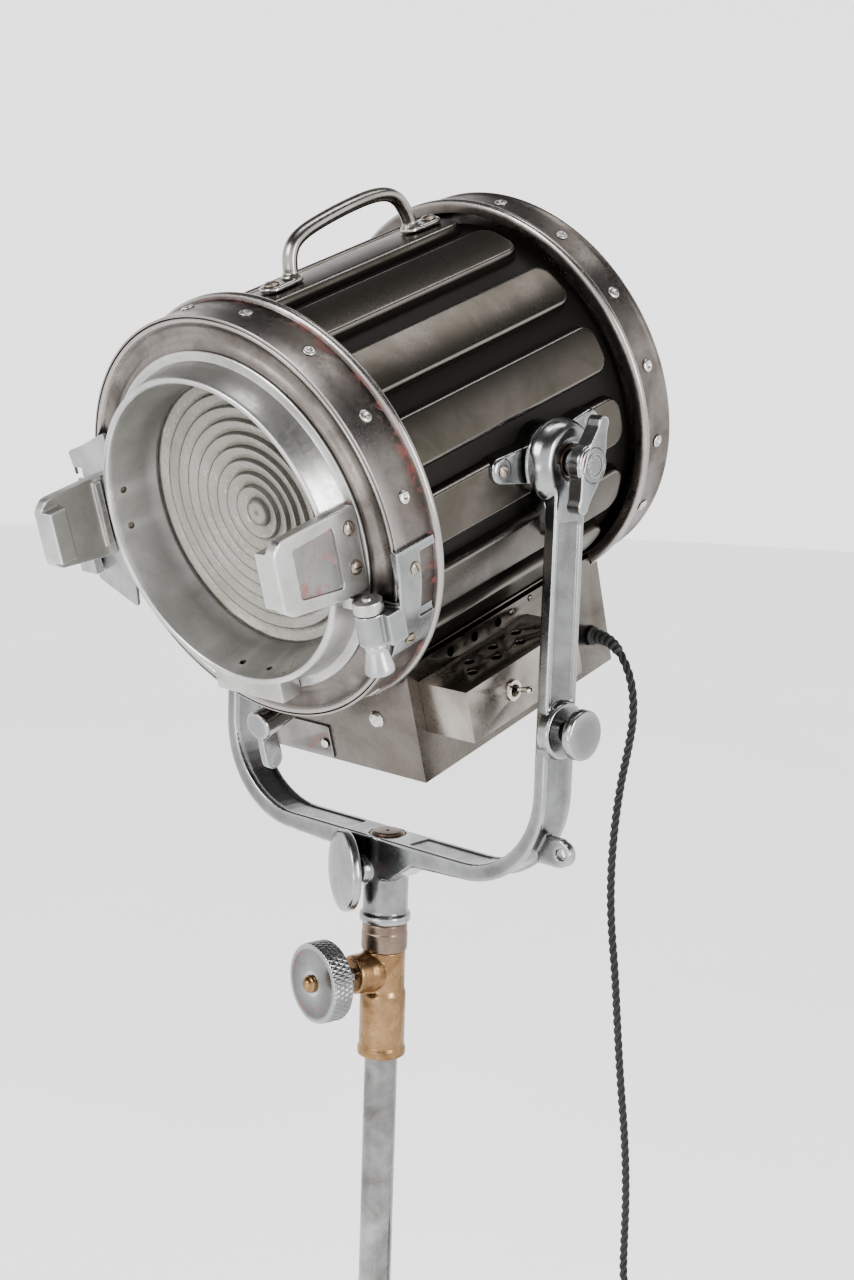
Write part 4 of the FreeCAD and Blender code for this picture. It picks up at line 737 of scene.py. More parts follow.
def relief_sleeve(line):
    """A ribbed rubber sleeve that steadies the lead where it leaves the gland."""
    held = 12
    parts = 6
    path = [point / MM for point in line[:held + 1]]
    rings = 5

    def section(along):
        ridge = 0.5 + 0.5 * math.cos(2 * math.pi * rings * along)
        return circle(7.4 - 2.2 * along - 0.8 * ridge, 28)

    fine = [path[index].lerp(path[index + 1], part / parts)
            for index in range(held) for part in range(parts)]
    return piece("strain_relief", sweep(fine, section), RUBBER, "lead", matrix=STAND)


def coil_tie():
    """A rubber strap round the coil's turns, a little above the ring's right side."""
    frame_at = Matrix.Translation(COIL_CENTRE) @ Matrix.Rotation(math.radians(-12), 4, "Y")
    frame_at = frame_at @ Matrix.Translation((COIL_RADIUS, 0, 0))
    band = lathe(rounded([(-5, 13.5), (-5, 14.9), (5, 14.9), (5, 13.5)], 0.5, closed=True, steps=2),
                 None, 64, closed=True)
    buckle = slab((13.6, -3.4, -5.4), (15.1, 3.4, 5.4))
    mesh = joined([band, bevelled(buckle, 0.5)])
    return piece("coil_tie_strap", mesh, RUBBER, "lead", ("coil_tie",), matrix=frame_at)


def make_plug():
    """A round three-pin plug at the tail's end."""
    fall = (TAIL[-1] - TAIL[-2]).normalized()
    turn = Vector((0, 0, 1)).rotation_difference(fall).to_matrix().to_4x4()
    frame_at = Matrix.Translation(TAIL[-1] + fall * 0.05 * MM) @ turn
    grips = 24
    profile = [(0, 4.4), (0, 6.0), (3, 6.4), (12, 8.4), (13.5, 13.0), (15, 16.5), (18, 17.9), (20, 18),
               (36, 18), (39, 17.4), (41.2, 16.4), (42, 15), (42, 0)]

    def ribbed(angle, along, radius):
        if 17.9 < radius and 18 < along < 38:
            return radius - 0.5 * (0.5 + 0.5 * math.cos(grips * angle))
        return radius

    body = lathe(profile, None, 96, radius_at=ribbed)
    body = piece("plug_body", body, RUBBER, "lead", ("plug",), matrix=frame_at)
    blades = []
    for across, up, width, height in ((-6.5, -4, 1.6, 6.4), (6.5, -4, 1.6, 6.4), (0, 7, 4.6, 4.6)):
        blades.append(slab((across - width / 2, up - height / 2, 41.5),
                           (across + width / 2, up + height / 2, 59)))
    pins = bevelled(joined(blades), 0.6, 3)
    return body, piece("plug_blades", pins, BRASS, "lead", ("plug_pins",), matrix=frame_at)


make_lead()


# ---- studio ----------------------------------------------------------------------------------

def make_studio():
    """A pale floor well below the lamp, and a world that the polished parts mirror."""
    floor_drop = 0.32
    floor_glow = 0.98
    world_strength = 1.65
    floor_material = Nodes("floor_paper")
    shade = floor_material.mix(floor_material.span(floor_material.noise(1.5), 0.3, 0.7),
                               (0.90, 0.90, 0.90), (0.87, 0.87, 0.875))
    floor_material.wire(Base_Color=shade, Roughness=0.75, Emission_Color=shade)
    floor_material.shader.inputs["Emission Strength"].default_value = floor_glow
    floor = lathe([(-1, 0), (0, 0.2), (0, 9000)], None, 96)
    floor.materials.append(floor_material.material)
    item = bpy.data.objects.new("floor", floor)
    item.location = (0, 0, CAD_BOX[0].z - floor_drop)
    bpy.context.scene.collection.objects.link(item)
    world = bpy.data.worlds.new("studio")
    world.use_nodes = True
    tree = world.node_tree
    where = tree.nodes.new("ShaderNodeTexCoord")
    parts = tree.nodes.new("ShaderNodeSeparateXYZ")
    ramp = tree.nodes.new("ShaderNodeValToRGB")
    ramp.color_ramp.interpolation = "EASE"
    # pale round the horizon, a dark ceiling above it and a paler middle overhead
    stops = ((0.0, 0.80), (0.50, 0.98), (0.70, 0.80), (0.80, 0.10), (0.94, 0.07), (1.0, 0.35))
    while len(ramp.color_ramp.elements) < len(stops):
        ramp.color_ramp.elements.new(0.5)
    for element, (position, grey) in zip(ramp.color_ramp.elements, stops):
        element.position = position
        element.color = (grey, grey, grey * 1.01, 1)
    height = tree.nodes.new("ShaderNodeMapRange")
    height.inputs["From Min"].default_value = -1.0
    tree.links.new(where.outputs["Generated"], parts.inputs["Vector"])
    tree.links.new(parts.outputs["Z"], height.inputs["Value"])
    tree.links.new(height.outputs["Result"], ramp.inputs["Fac"])
    tree.links.new(ramp.outputs["Color"], tree.nodes["Background"].inputs["Color"])
    tree.nodes["Background"].inputs["Strength"].default_value = world_strength
    bpy.context.scene.world = world
    bpy.context.scene.view_settings.view_transform = "AgX"
    bpy.context.scene.view_settings.look = "AgX - Medium High Contrast"


def soft_light(name, at, aim, size, power):
    """A white rectangle of light, its power in watts, aimed at a point."""
    data = bpy.data.lights.new(name, "AREA")
    data.shape = "RECTANGLE"
    data.size, data.size_y = size
    data.energy = power
    data.color = (1, 1, 1)
    item = bpy.data.objects.new(name, data)
    direction = Vector(aim) - Vector(at)
    item.matrix_world = Matrix.Translation(at) @ direction.to_track_quat("-Z", "Y").to_matrix().to_4x4()
    bpy.context.scene.collection.objects.link(item)


def make_lights():
    middle = TILT_AXIS
    soft_light("key", (-0.4, -2.6, 2.3), middle, (1.7, 1.2), 48)
    soft_light("side", (2.7, -0.1, 1.3), middle, (0.8, 1.8), 36)
    soft_light("overhead", (0.2, 0.4, 2.7), middle, (0.5, 1.6), 9)
    soft_light("low_fill", (0.3, -2.6, 0.2), (0, 0, 0.6), (1.6, 0.5), 10)


make_studio()
make_lights()


# ---- wear and painted shade in recesses, wear and painted highlight on edges -----------------

def recess_depth(mesh, rounds=6, gain=5.0):
    """How hollow the surface is at each vertex: over 0 in corners, below 0 on outer edges."""
    count = len(mesh.vertices)
    where = np.empty(count * 3, dtype=np.float32)
    mesh.vertices.foreach_get("co", where)
    where = where.reshape(-1, 3)
    normals = np.empty(count * 3, dtype=np.float32)
    mesh.vertex_normals.foreach_get("vector", normals)
    normals = normals.reshape(-1, 3)
    ends = np.empty(len(mesh.edges) * 2, dtype=np.int32)
    mesh.edges.foreach_get("vertices", ends)
    ends = ends.reshape(-1, 2)
    degree = np.maximum(np.bincount(ends.ravel(), minlength=count), 1)
    pull = np.zeros((count, 3), dtype=np.float32)
    for axis in range(3):
        difference = where[ends[:, 1], axis] - where[ends[:, 0], axis]
        pull[:, axis] = (np.bincount(ends[:, 0], difference, count)
                         - np.bincount(ends[:, 1], difference, count)) / degree
    length = np.linalg.norm(where[ends[:, 1]] - where[ends[:, 0]], axis=1).mean()
    hollow = (pull * normals).sum(axis=1) / length
    for _ in range(rounds):
        total = (np.bincount(ends[:, 0], hollow[ends[:, 1]], count)
                 + np.bincount(ends[:, 1], hollow[ends[:, 0]], count))
        hollow = 0.35 * hollow + 0.65 * total / degree
    return np.clip(hollow * gain, -1.0, 1.0)


def shade_recesses(mesh, rounds=6, gain=5.0, least=-1.0):
    """Store how hollow each vertex is, for the material's red paint and painted shade in recesses, and
    its wear and painted highlight on edges.
    """
    layer = mesh.attributes.new("paint", "FLOAT", "POINT")
    layer.data.foreach_set("value", np.maximum(recess_depth(mesh, rounds, gain), least))
    return mesh


# ---- stand adaptor ---------------------------------------------------------------------------

def make_riser():
    profile = [(0, 12.5), (0.0, 15.2), (0.7, 15.87), (260.4, 15.87), (261, 15.2), (261, 15),
               (357, 15), (357, 12.5)]
    piece("riser", lathe(profile, None, 96, closed=True), RISER_STEEL, "stand_top", ("riser_tube",),
          matrix=STAND)


def make_adaptor():
    profile = rounded([(261, 15.4), (261, 23.1), (268.6, 23.2), (270.6, 21.9), (323, 22),
                       (328, 20.4), (366.4, 20.4), (366.4, 15.4)], 1.2, closed=True)
    tee = lathe(profile, None, 96, closed=True)
    boss = lathe(rounded([(8, 0), (8, 18.6), (30, 18.8), (36.6, 18.6), (38, 17.0), (38, 0)], 1.5),
                 CLAMP_AXIS, 64)
    neck = lathe([(12, 0), (12, 20.3), (19, 20.0), (24, 18.6), (24, 0)], CLAMP_AXIS, 64)
    bore = rod(15.5, 250, 380, segments=64)
    screw_bore = rod(6.8, 10, 60, CLAMP_AXIS)
    body = cast([tee, boss, neck], 0.8, 3, [bore, screw_bore])
    piece("brass_adaptor", shade_recesses(body, 8), BRASS, "stand_top", ("adaptor_body",), matrix=STAND)
    collar = lathe(rounded([(366.6, 14.5), (366.6, 21.6), (368.4, 21.98), (384, 21.98),
                            (385, 21.4), (392.6, 21.4), (394.5, 20.2), (394.5, 14.5)], 0.8,
                           closed=True), None, 96, closed=True)
    piece("bronze_collar", shade_recesses(collar, 2), BRONZE, "stand_top", ("adaptor_collar",),
          matrix=STAND)
    stud = lathe(rounded([(357, 0), (357, 8), (366.7, 8), (366.7, 14.28), (481.2, 14.28),
                          (482.5, 12.9), (482.5, 0)], 0.4), None, 64)
    centre = rod(2.2, 480.6, 484)
    piece("spigot_pin", carved(stud, [centre]), BRONZE, "stand_top", ("spigot",), matrix=STAND)


def make_clamp():
    pitch = 1.75
    steps_a_turn = 4

    def thread(angle, along, radius):
        wave = (along / pitch - angle / (2 * math.pi)) % 1.0
        return radius - 0.9 * abs(2 * wave - 1) if radius > 5 else radius

    tip = 15.7
    shoulder = 60.6
    step = pitch / steps_a_turn
    crests = [(tip + step * index, 6.5) for index in range(int((shoulder - tip) / step))]
    screw = lathe([(tip, 0)] + crests + [(82.4, 5.2), (82.4, 0)], CLAMP_AXIS, 40, radius_at=thread)
    piece("clamp_threaded_screw", screw, POLISHED, "clamp_hand_screw", ("clamp_screw",), sharp=60,
          matrix=STAND)
    diamonds = 46

    rim_radius = 38.35

    def knurl(angle, along, radius):
        if radius < 38.0:
            return radius
        slant = along / 22.0 * 2.3
        first = abs(math.sin(0.5 * diamonds * angle + slant * math.pi))
        second = abs(math.sin(0.5 * diamonds * angle - slant * math.pi))
        return radius - 0.95 * (1 - min(first, second) ** 0.6)

    rim = [(62.4 + 0.62 * index, rim_radius) for index in range(30)]
    profile = ([(46.6, 6.6), (46.6, 10.6), (47.6, 11.4), (58.4, 11.4), (60.6, 13.5), (60.9, 30.0),
                (60.6, 36.4), (61.3, 37.6)] + rim + [(81.6, 37.5), (82.4, 36.2), (82.45, 33.5),
                (81.9, 32.4), (81.7, 20.0), (82.2, 13.0), (82.4, 12.0), (82.4, 6.6)])
    wheel = lathe(profile, CLAMP_AXIS, 10 * diamonds, closed=True, radius_at=knurl)
    piece("clamp_hand_wheel", shade_recesses(wheel, 1, 2.5, -0.6), ALUMINIUM, "clamp_hand_screw",
          ("clamp_knob",), matrix=STAND)
    nut = lathe([(82.56, 0), (82.56, 8.3), (83.2, 8.5), (85.3, 8.5), (86.0, 8.0), (86.4, 7.2),
                 (88.2, 6.7), (90.0, 5.4), (91.2, 3.4), (91.75, 1.6), (91.8, 0)], CLAMP_AXIS, 48)
    piece("clamp_domed_nut", nut, BRASS, "clamp_hand_screw", ("clamp_nut",), sharp=60, matrix=STAND)


# ---- yoke ------------------------------------------------------------------------------------

def arc(centre, radius, start, end, steps=14):
    return [(centre[0] + radius * math.cos(math.radians(start + (end - start) * i / steps)),
             centre[1] + radius * math.sin(math.radians(start + (end - start) * i / steps)))
            for i in range(steps + 1)]


INNER_BEND = ((110.5, 80), 80)
OUTER_BEND = ((111, 76), 92)
ARM_INSIDE = 190.5
ARM_OUTSIDE = 203


def fork_outline():
    """The U's outline seen from the front: the outside from the middle to the right arm, and back."""
    inside = [(ARM_INSIDE, TILT_RISE)] + arc(*INNER_BEND, 0, -90)
    outside = [(0, -40), (21, -40), (50, -19)] + arc(*OUTER_BEND, -90, 0) + [(ARM_OUTSIDE, TILT_RISE)]
    return (outside + inside + [(0, 0)] + [(-x, z) for x, z in reversed(inside)]
            + [(-x, z) for x, z in reversed(outside[1:])])


def make_yoke():
    flat = moved(prism(fork_outline(), -20, 20), AXIS_TURN["-Y"])
    outer_line = [(ARM_OUTSIDE, 320), (ARM_OUTSIDE, 76)] + arc(*OUTER_BEND, 0, -90)[1:] + [(64, -17.4)]
    inner_line = [(ARM_INSIDE, 318), (ARM_INSIDE, 80)] + arc(*INNER_BEND, 0, -90)[1:] + [(40, 0)]
    channels = []
    for side in (1, -1):
        for line, half_width, inner_depth, outer_depth in ((outer_line, 14.2, -2.1, 6),
                                                           (inner_line, 13.6, -6, 1.5)):
            path = [(side * x, 0, z) for x, z in line]
            channels.append(sweep(path, [(-half_width, side * inner_depth),
                                         (half_width, side * inner_depth),
                                         (half_width, side * outer_depth),
                                         (-half_width, side * outer_depth)]))
    body = carved(with_modifiers(flat, ("REMESH", {"mode": "VOXEL", "voxel_size": 1.5 * MM})),
                  channels)
    cones = []
    for axis in ("X", "-X"):
        profile = [(183.6, 0), (183.6, 36.6), (184.8, 37.8), (190, 37.4), (195, 35.8),
                   (199, 33.4), (201.8, 30.6), (203, 27.6), (202.8, 21.5), (201.2, 19.6),
                   (201.0, 0)]
        cones.append(lathe(profile, place((0, 0, TILT_RISE), axis), 72))
    boss = lathe([(196, 0), (196, 25.8), (207.4, 25.6), (209, 24.2), (209, 0)], ARM_KNOB_AXIS, 64)
    ear = joined([lathe([(-4.5, 0), (-4.5, 10.6), (-3.6, 11.5), (3.6, 11.5), (4.5, 10.6), (4.5, 0)],
                        SAFETY_EAR_AXIS, 48), slab((186, -4.5, 14), (212, 4.5, 40))])
    socket = lathe([(-85, 0), (-85, 24.0), (-84.4, 24.5), (-77.8, 24.5), (-77, 23.6), (-76.4, 21.5),
                    (-10, 21.5), (0, 21.5), (0, 0)], None, 72)
    spot_boss = lathe([(5, 0), (5, 13), (27, 13), (27, 0)], PAN_LOCK_AXIS, 48)
    seat = lathe([(34.6, 0), (34.6, 40.5), (65, 40.5), (65, 0)], PAN_LOCK_AXIS, 72)
    bores = [rod(16.9, -90, 6, segments=64),
             rod(15.9, -240, 240, place((0, 0, TILT_RISE), "X"), 64),
             rod(5.2, 196, 220, ARM_KNOB_AXIS),
             rod(6.8, 10, 40, PAN_LOCK_AXIS),
             rod(5.0, -10, 10, SAFETY_EAR_AXIS), seat]
    body = cast([body, boss, ear, socket, spot_boss] + cones, 1.25, 5, bores)
    piece("yoke_casting", shade_recesses(body, 10, 7.0, -0.45), ALUMINIUM, "yoke", ("yoke",), sharp=50,
          matrix=CROSSBAR)
    bush = lathe([(-85, 14.42), (-85, 16.8), (-0.4, 16.8), (-0.2, 16.4), (-0.2, 14.42)], None, 64,
                 closed=True)
    piece("socket_lining", bush, BRONZE, "yoke", ("socket_bush",), matrix=CROSSBAR)
    sleeves = [lathe([(183.6, 14.12), (183.6, 15.8), (203, 15.8), (203, 14.12)],
                     place((0, 0, TILT_RISE), axis), 64, closed=True) for axis in ("X", "-X")]
    piece("pivot_bushes", joined(sleeves), BRONZE, "yoke", ("tilt_bushes",), matrix=CROSSBAR)


def make_yoke_knobs():
    disc = lathe([(14.9, 0), (14.9, 6.5), (29.6, 6.5), (29.6, 10.4), (30.4, 11), (34.6, 11),
                  (36.2, 13.0), (36.1, 34.0), (36.6, 37.0), (37.6, 38.3), (40, 38.75), (43.5, 38.75),
                  (45.4, 37.8), (46.6, 35.4), (47.4, 30), (47.8, 18), (47.95, 6), (47.95, 0)],
                 PAN_LOCK_AXIS, 128)
    piece("pan_lock_disc", shade_recesses(disc, 3, 4.0, -0.4), ALUMINIUM, "pan_lock", ("pan_lock_knob",),
          sharp=45, matrix=CROSSBAR)
    knob = lathe([(197.3, 0), (197.3, 5), (209.4, 5), (209.4, 9.4), (210.2, 10), (219, 10),
                  (221.2, 12), (221.4, 20.6), (222.0, 22.0), (223.4, 22.5), (228.8, 22.5),
                  (230.2, 21.7), (230.8, 20.0), (230.9, 12), (231, 0)], ARM_KNOB_AXIS, 144)
    piece("arm_round_knob", shade_recesses(knob, 2, 3.0, -0.5), ALUMINIUM, "arm_knob", ("arm_knob",),
          sharp=45, matrix=CROSSBAR)


def make_tilt_lock():
    at_axis = CROSSBAR @ Matrix.Translation((0, 0, TILT_RISE * MM))
    screw = lathe(rounded([(168, 0), (168, 7.2), (168.8, 8), (207.2, 8), (208, 7.2), (208, 0)], 0.3),
                  along_axis("X"), 48)
    piece("tilt_lock_screw", screw, POLISHED, "tilt_lock", ("tilt_screw",), sharp=60, matrix=at_axis)
    lean = Matrix.Rotation(math.radians(-18), 4, "X")
    hub = lathe([(204.1, 8.05), (204.1, 12.4), (204.7, 12.95), (211, 12.95), (211.3, 17.6),
                 (212.2, 18.45), (222.6, 18.45), (224.4, 17.4), (225.0, 15.4), (224.4, 13.8),
                 (224.4, 12.2), (226.4, 10.8), (227.6, 7.0), (227.9, 0), (208.2, 0), (208.2, 8.05)],
                along_axis("X"), 96, closed=True)
    wings = []
    for side in (1, -1):
        outline = rounded([(-12.0, 0), (-11.6, side * 15), (-8.6, side * 24), (-6.2, side * 33),
                           (-6.4, side * 39), (-3.2, side * 43), (3.2, side * 43),
                           (6.4, side * 39), (6.2, side * 33), (8.6, side * 24),
                           (11.6, side * 15), (12.0, 0)], 1.5, closed=True)
        wings.append(moved(prism(outline, 212.2, 226.6), lean @ OUTLINE_YZ))
    lever = cast([hub] + wings, 0.7, 3, [rod(8.1, 200, 208.1, along_axis("X"))])
    petals = [rod(1.5, 226.0, 227.6, place((0, 6.6 * math.cos(turn), 6.6 * math.sin(turn)), "X"), 16,
                  0.5) for turn in (math.radians(45 * step) for step in range(8))]
    rims = [lathe([(224, inner), (227.3, inner + 0.3), (227.3, inner + 1.1), (224, inner + 1.4)],
                  along_axis("X"), 72, closed=True) for inner in (9.2, 3.0)]
    dish = lathe([(222, 0), (222, 17.2), (225.6, 16.8), (226.6, 15.8), (226.6, 14.6), (225.9, 13.9),
                  (226.1, 0)], along_axis("X"), 96)
    lever = joined([lever, dish] + petals + rims)
    piece("tilt_lock_lever", shade_recesses(lever, 6, 6.0, -0.5), ALUMINIUM, "tilt_lock", ("tilt_lever",),
          sharp=50, matrix=at_axis)


make_riser()
make_adaptor()
make_clamp()
make_yoke()
make_yoke_knobs()
make_tilt_lock()


# ---- shapes taken from the CAD model ---------------------------------------------------------

def local_cad(node):
    """A CAD node's mesh in the head's frame, with double points joined."""
    shape = bmesh.new()
    shape.from_mesh(frame["nodes"][node].data)
    bmesh.ops.remove_doubles(shape, verts=shape.verts, dist=0.02 * MM)
    return finished(shape, HEAD.inverted())


def softened(node, width):
    """A CAD node's shape with its edges broken."""
    shape = bmesh.new()
    shape.from_mesh(local_cad(node))
    bmesh.ops.dissolve_limit(shape, angle_limit=math.radians(1.2), verts=shape.verts, edges=shape.edges)
    return bevelled(finished(shape), width)


def melted(node, voxel, passes):
    """A CAD node's shape as a casting with soft corners."""
    return cast([local_cad(node)], voxel, passes)


# ---- head shell ------------------------------------------------------------------------------

BIG_RING = 256
RIBS = 16
RIB_HALF = 24.5
RIB_END = 109.0
RIB_CORNER = 16.0
RIB_SHOULDER = 5.0
CREST = 175.9
CREST_FALL = 0.25
GROOVE = 164.6
BARREL_INSIDE = 163.2
RIB_ROUND = 176.0


def inside_rib(across, y):
    """How far a point lies inside the nearest rib's rounded outline, in millimetres."""
    side = RIB_HALF - abs(across)
    end = RIB_END - y
    if side < RIB_CORNER and end < RIB_CORNER:
        return RIB_CORNER - math.hypot(RIB_CORNER - side, RIB_CORNER - end)
    return min(side, end)


def rib_rise(across, y):
    """How far up the rib's rounded shoulder a point lies: 0 in the groove and 1 on top."""
    depth = min(max(inside_rib(across, y) / RIB_SHOULDER, 0.0), 1.0)
    return math.sqrt(1 - (1 - depth) ** 2)


def make_barrel():
    """The ribbed shell, with more points where the ribs bend. Its paint layer is a painted highlight,
    partly wear, on the rib shoulders and painted shade in the grooves.
    """
    half = [0, 4.5, 8, 10.5, 12.5, 14.5, 16.5, 18, 19.2, 20.2, 21.1, 21.9, 22.6, 23.2, 23.7, 24.1,
            24.4, 24.6, 25.6, 29, 34.55]
    across = [-value for value in reversed(half[1:])] + half[:-1]
    ends = [RIB_END - value for value in (0, 0.3, 0.8, 1.5, 2.3, 3.2, 4.2, 5.2, 7, 9, 11.5, 14, 16.5,
                                          19, 24)]
    rows = [-160, -120, -80, -40, 0, 40, 70] + list(reversed(ends)) + [109.8, 112, 118, 124, 128]
    shape = bmesh.new()
    layer = shape.verts.layers.float.new("paint")
    outer = []
    inner = []
    for y in rows:
        outer_row = []
        inner_row = []
        for rib in range(RIBS):
            for value in across:
                angle = 2 * math.pi * rib / RIBS + value / RIB_ROUND
                rise = rib_rise(value, y)
                radius = GROOVE + (CREST - GROOVE) * rise
                radius -= CREST_FALL * (value / RIB_HALF) ** 2 * rise
                vertex = shape.verts.new((radius * MM * math.sin(angle), y * MM,
                                          radius * MM * math.cos(angle)))
                depth = inside_rib(value, y) / RIB_SHOULDER
                # Rib shoulders get a painted highlight, partly wear; groove floors get painted shade.
                vertex[layer] = -0.5 if 0.45 < depth < 0.95 else (1.0 if depth < 0.1 else 0.0)
                outer_row.append(vertex)
                inner_row.append(shape.verts.new((BARREL_INSIDE * MM * math.sin(angle), y * MM,
                                                  BARREL_INSIDE * MM * math.cos(angle))))
        outer.append(outer_row)
        inner.append(inner_row)
    loops = outer + list(reversed(inner))
    count = len(outer[0])
    for lower, upper in zip(loops, loops[1:] + loops[:1]):
        for index in range(count):
            after = (index + 1) % count
            shape.faces.new([lower[index], lower[after], upper[after], upper[index]])
    mesh = finished(shape)
    focus_way = slab((-60, -95, -190), (60, 95, -100))
    stub_holes = rod(8.4, -200, 200, along_axis("X"))
    piece("barrel_ribbed_shell", carved(mesh, [focus_way, stub_holes]), RIB_STEEL, "head",
          ("barrel",), sharp=50)


def make_bands():
    # Bead and front edge lighter: painted highlight, partly wear; the crease before the bead darkened as
    # painted shade, with red paint flakes.
    def front_wear_shade_and_highlight(spot):
        radius = math.hypot(spot.x, spot.y)
        if radius > 185.2:
            return -0.9
        return 0.9 if -164.5 < spot.z < -160.5 else (-0.6 if spot.z < -203.2 else 0.0)

    front = [(-204, 181.02), (-204, 182.2), (-203.3, 183), (-190, 183), (-176, 183), (-164.5, 183),
             (-162.2, 183.1), (-161.4, 184.0), (-160.4, 186.3), (-158.9, 187.6), (-157, 188),
             (-155.1, 187.6), (-153.6, 186.3), (-152.6, 184.0), (-152.5, 182), (-152.5, 176.5),
             (-161.4, 176.5), (-161.4, 181.02)]
    mesh = lathe(front, None, BIG_RING, closed=True)
    piece("front_band_strap", mesh, BAND_STEEL, "head", ("front_band",), sharp=45, paint=front_wear_shade_and_highlight,
          matrix=HEAD @ BARREL_AXIS)

    # Bead lighter: painted highlight, partly wear; the crease behind it darkened as painted shade, with
    # red paint flakes.
    def rear_wear_shade_and_highlight(spot):
        radius = math.hypot(spot.x, spot.y)
        return -0.75 if radius > 185.2 else (0.6 if 129 < spot.z < 133 else 0.0)

    rear = [(121.5, 176.5), (121.5, 182), (121.6, 184.0), (122.6, 186.3), (124.1, 187.6), (126, 188),
            (127.9, 187.6), (129.4, 186.3), (130.4, 184.0), (131.2, 183.1), (133, 183), (145, 183),
            (156, 183), (159, 183.5), (161, 184.3), (163, 184.2), (165.2, 182.9), (166, 181.9),
            (166, 181.02), (130.5, 181.02), (130.5, 176.5)]
    mesh = lathe(rear, None, BIG_RING, closed=True)
    piece("rear_band_strap", mesh, BAND_STEEL, "head", ("rear_band",), sharp=45, paint=rear_wear_shade_and_highlight,
          matrix=HEAD @ BARREL_AXIS)
    under_hinge = (4, 5)
    heads = [moved(tubular_rivet(), around_barrel(360 / RIBS * (index + 0.5), 183.05, y))
             for y, left_out in ((-181, under_hinge), (146, ()))
             for index in range(RIBS) if index not in left_out]
    piece("band_tubular_rivets", joined(heads), RIVET_METAL, "head", ("band_rivets",), sharp=60)


def make_end_plates():
    front = [(-190.2, 180.9), (-201.0, 180.9), (-203.6, 180.3), (-204.8, 178.9), (-204.7, 177.2),
             (-203.2, 175.6), (-201.2, 173.6), (-200.0, 170.6), (-199.7, 167.2), (-200.4, 163.6),
             (-202.2, 160.4), (-203.9, 158.2), (-204.8, 155.6), (-205, 152), (-205, 138.2),
             (-203.6, 138.2), (-203.4, 155), (-198.4, 162), (-198.0, 171), (-201, 177.6),
             (-200.4, 179.4), (-190.2, 179.4)]

    # The front cap's rolled edge lighter: painted highlight, partly wear.
    def wear_and_highlight(spot):
        radius = math.hypot(spot.x, spot.y)
        return -0.9 if 174 < radius < 180 and spot.z < -201 else 0.0

    piece("front_cap_ring", lathe(front, None, BIG_RING, closed=True), BAND_STEEL, "head", ("front_cap",),
          sharp=50, paint=wear_and_highlight, matrix=HEAD @ BARREL_AXIS)
    rear = [(150.2, 180.9), (160.8, 180.9), (163.6, 179.8), (164.9, 177.4), (164.6, 174.8),
            (162.0, 169.5), (159.6, 165.6), (158.7, 162.4), (159.4, 158), (163.6, 140), (164.6, 134),
            (163.9, 130), (164.8, 126), (168.2, 110), (173.4, 64), (174.4, 56), (173.6, 52),
            (174.6, 47), (175.9, 20), (176, 0), (174.4, 0), (172.0, 60), (157.2, 162.4),
            (160.4, 169.8), (163.0, 175.8), (160.4, 179.3), (150.2, 179.3)]
    piece("rear_dished_cover", lathe(rear, None, BIG_RING), BAND_STEEL, "head", ("rear_cover",), sharp=50,
          matrix=HEAD @ BARREL_AXIS)


HANDLE_FEET = ((-92, -1), (62, 1))
HANDLE_SCREWS = ((-116, 25), (86, 100))


def make_handle():
    """A bent bar on two feet, (y, way it points), held by two screws, (y, turn of the slot)."""
    bar = 7
    path = curve_points([(0, -92, 180.6), (0, -91.4, 190), (0, -88.5, 200), (0, -81, 208.6),
                         (0, -66, 214.4), (0, -40, 218.2), (0, -8, 220.6), (0, 20, 220.6),
                         (0, 39, 217), (0, 51, 209.4), (0, 58, 198), (0, 61.2, 188), (0, 62, 180.6)], 5)
    section = [(bar * math.cos(a), bar * math.sin(a) * (0.82 if math.sin(a) < 0 else 1.0))
               for a in (2 * math.pi * i / 20 for i in range(20))]
    shapes = [sweep(path, section, up=Vector((1, 0, 0)))]
    for foot, reach in HANDLE_FEET:
        pad = hull(*[(x, y, z) for z, grow in ((176.6, 0), (179.8, 0), (181.2, -1.2))
                     for x, y in circle(11 + grow, 28, (0, foot + reach * 24))
                     + circle(9.5 + grow, 28, (0, foot - reach * 1))])
        root = hull(*[(x, y, z) for z, size in ((180, 9.6), (184, 7.6))
                      for x, y in circle(size, 20, (0, foot))])
        shapes += [pad, root]
    holes = [rod(3.2, 170, 190, place((0, y, 0)), 24) for y, turn in HANDLE_SCREWS]
    grip = cast(shapes, 0.9, 4, holes)
    piece("handle_grip_bar", shade_recesses(grip, 6, 6.0, -0.4), HANDLE_STEEL, "head", ("top_handle",),
          sharp=60)
    screws = []
    for y, turn in HANDLE_SCREWS:
        shank = rod(3.0, 176.6, 182, place((0, y, 0)), 24)
        screws += [shank, moved(slotted_head(7, 3, turn), place((0, y, 181.3)))]
    piece("handle_slotted_screws", joined(screws), SCREW_METAL, "head", ("handle_screws",), sharp=50)


# ---- tilt pivots -----------------------------------------------------------------------------

# The three screws of each side casting, as (y, z) from the tilt axis.
EARS = ((-62, 13), (60, 13), (0, -60))


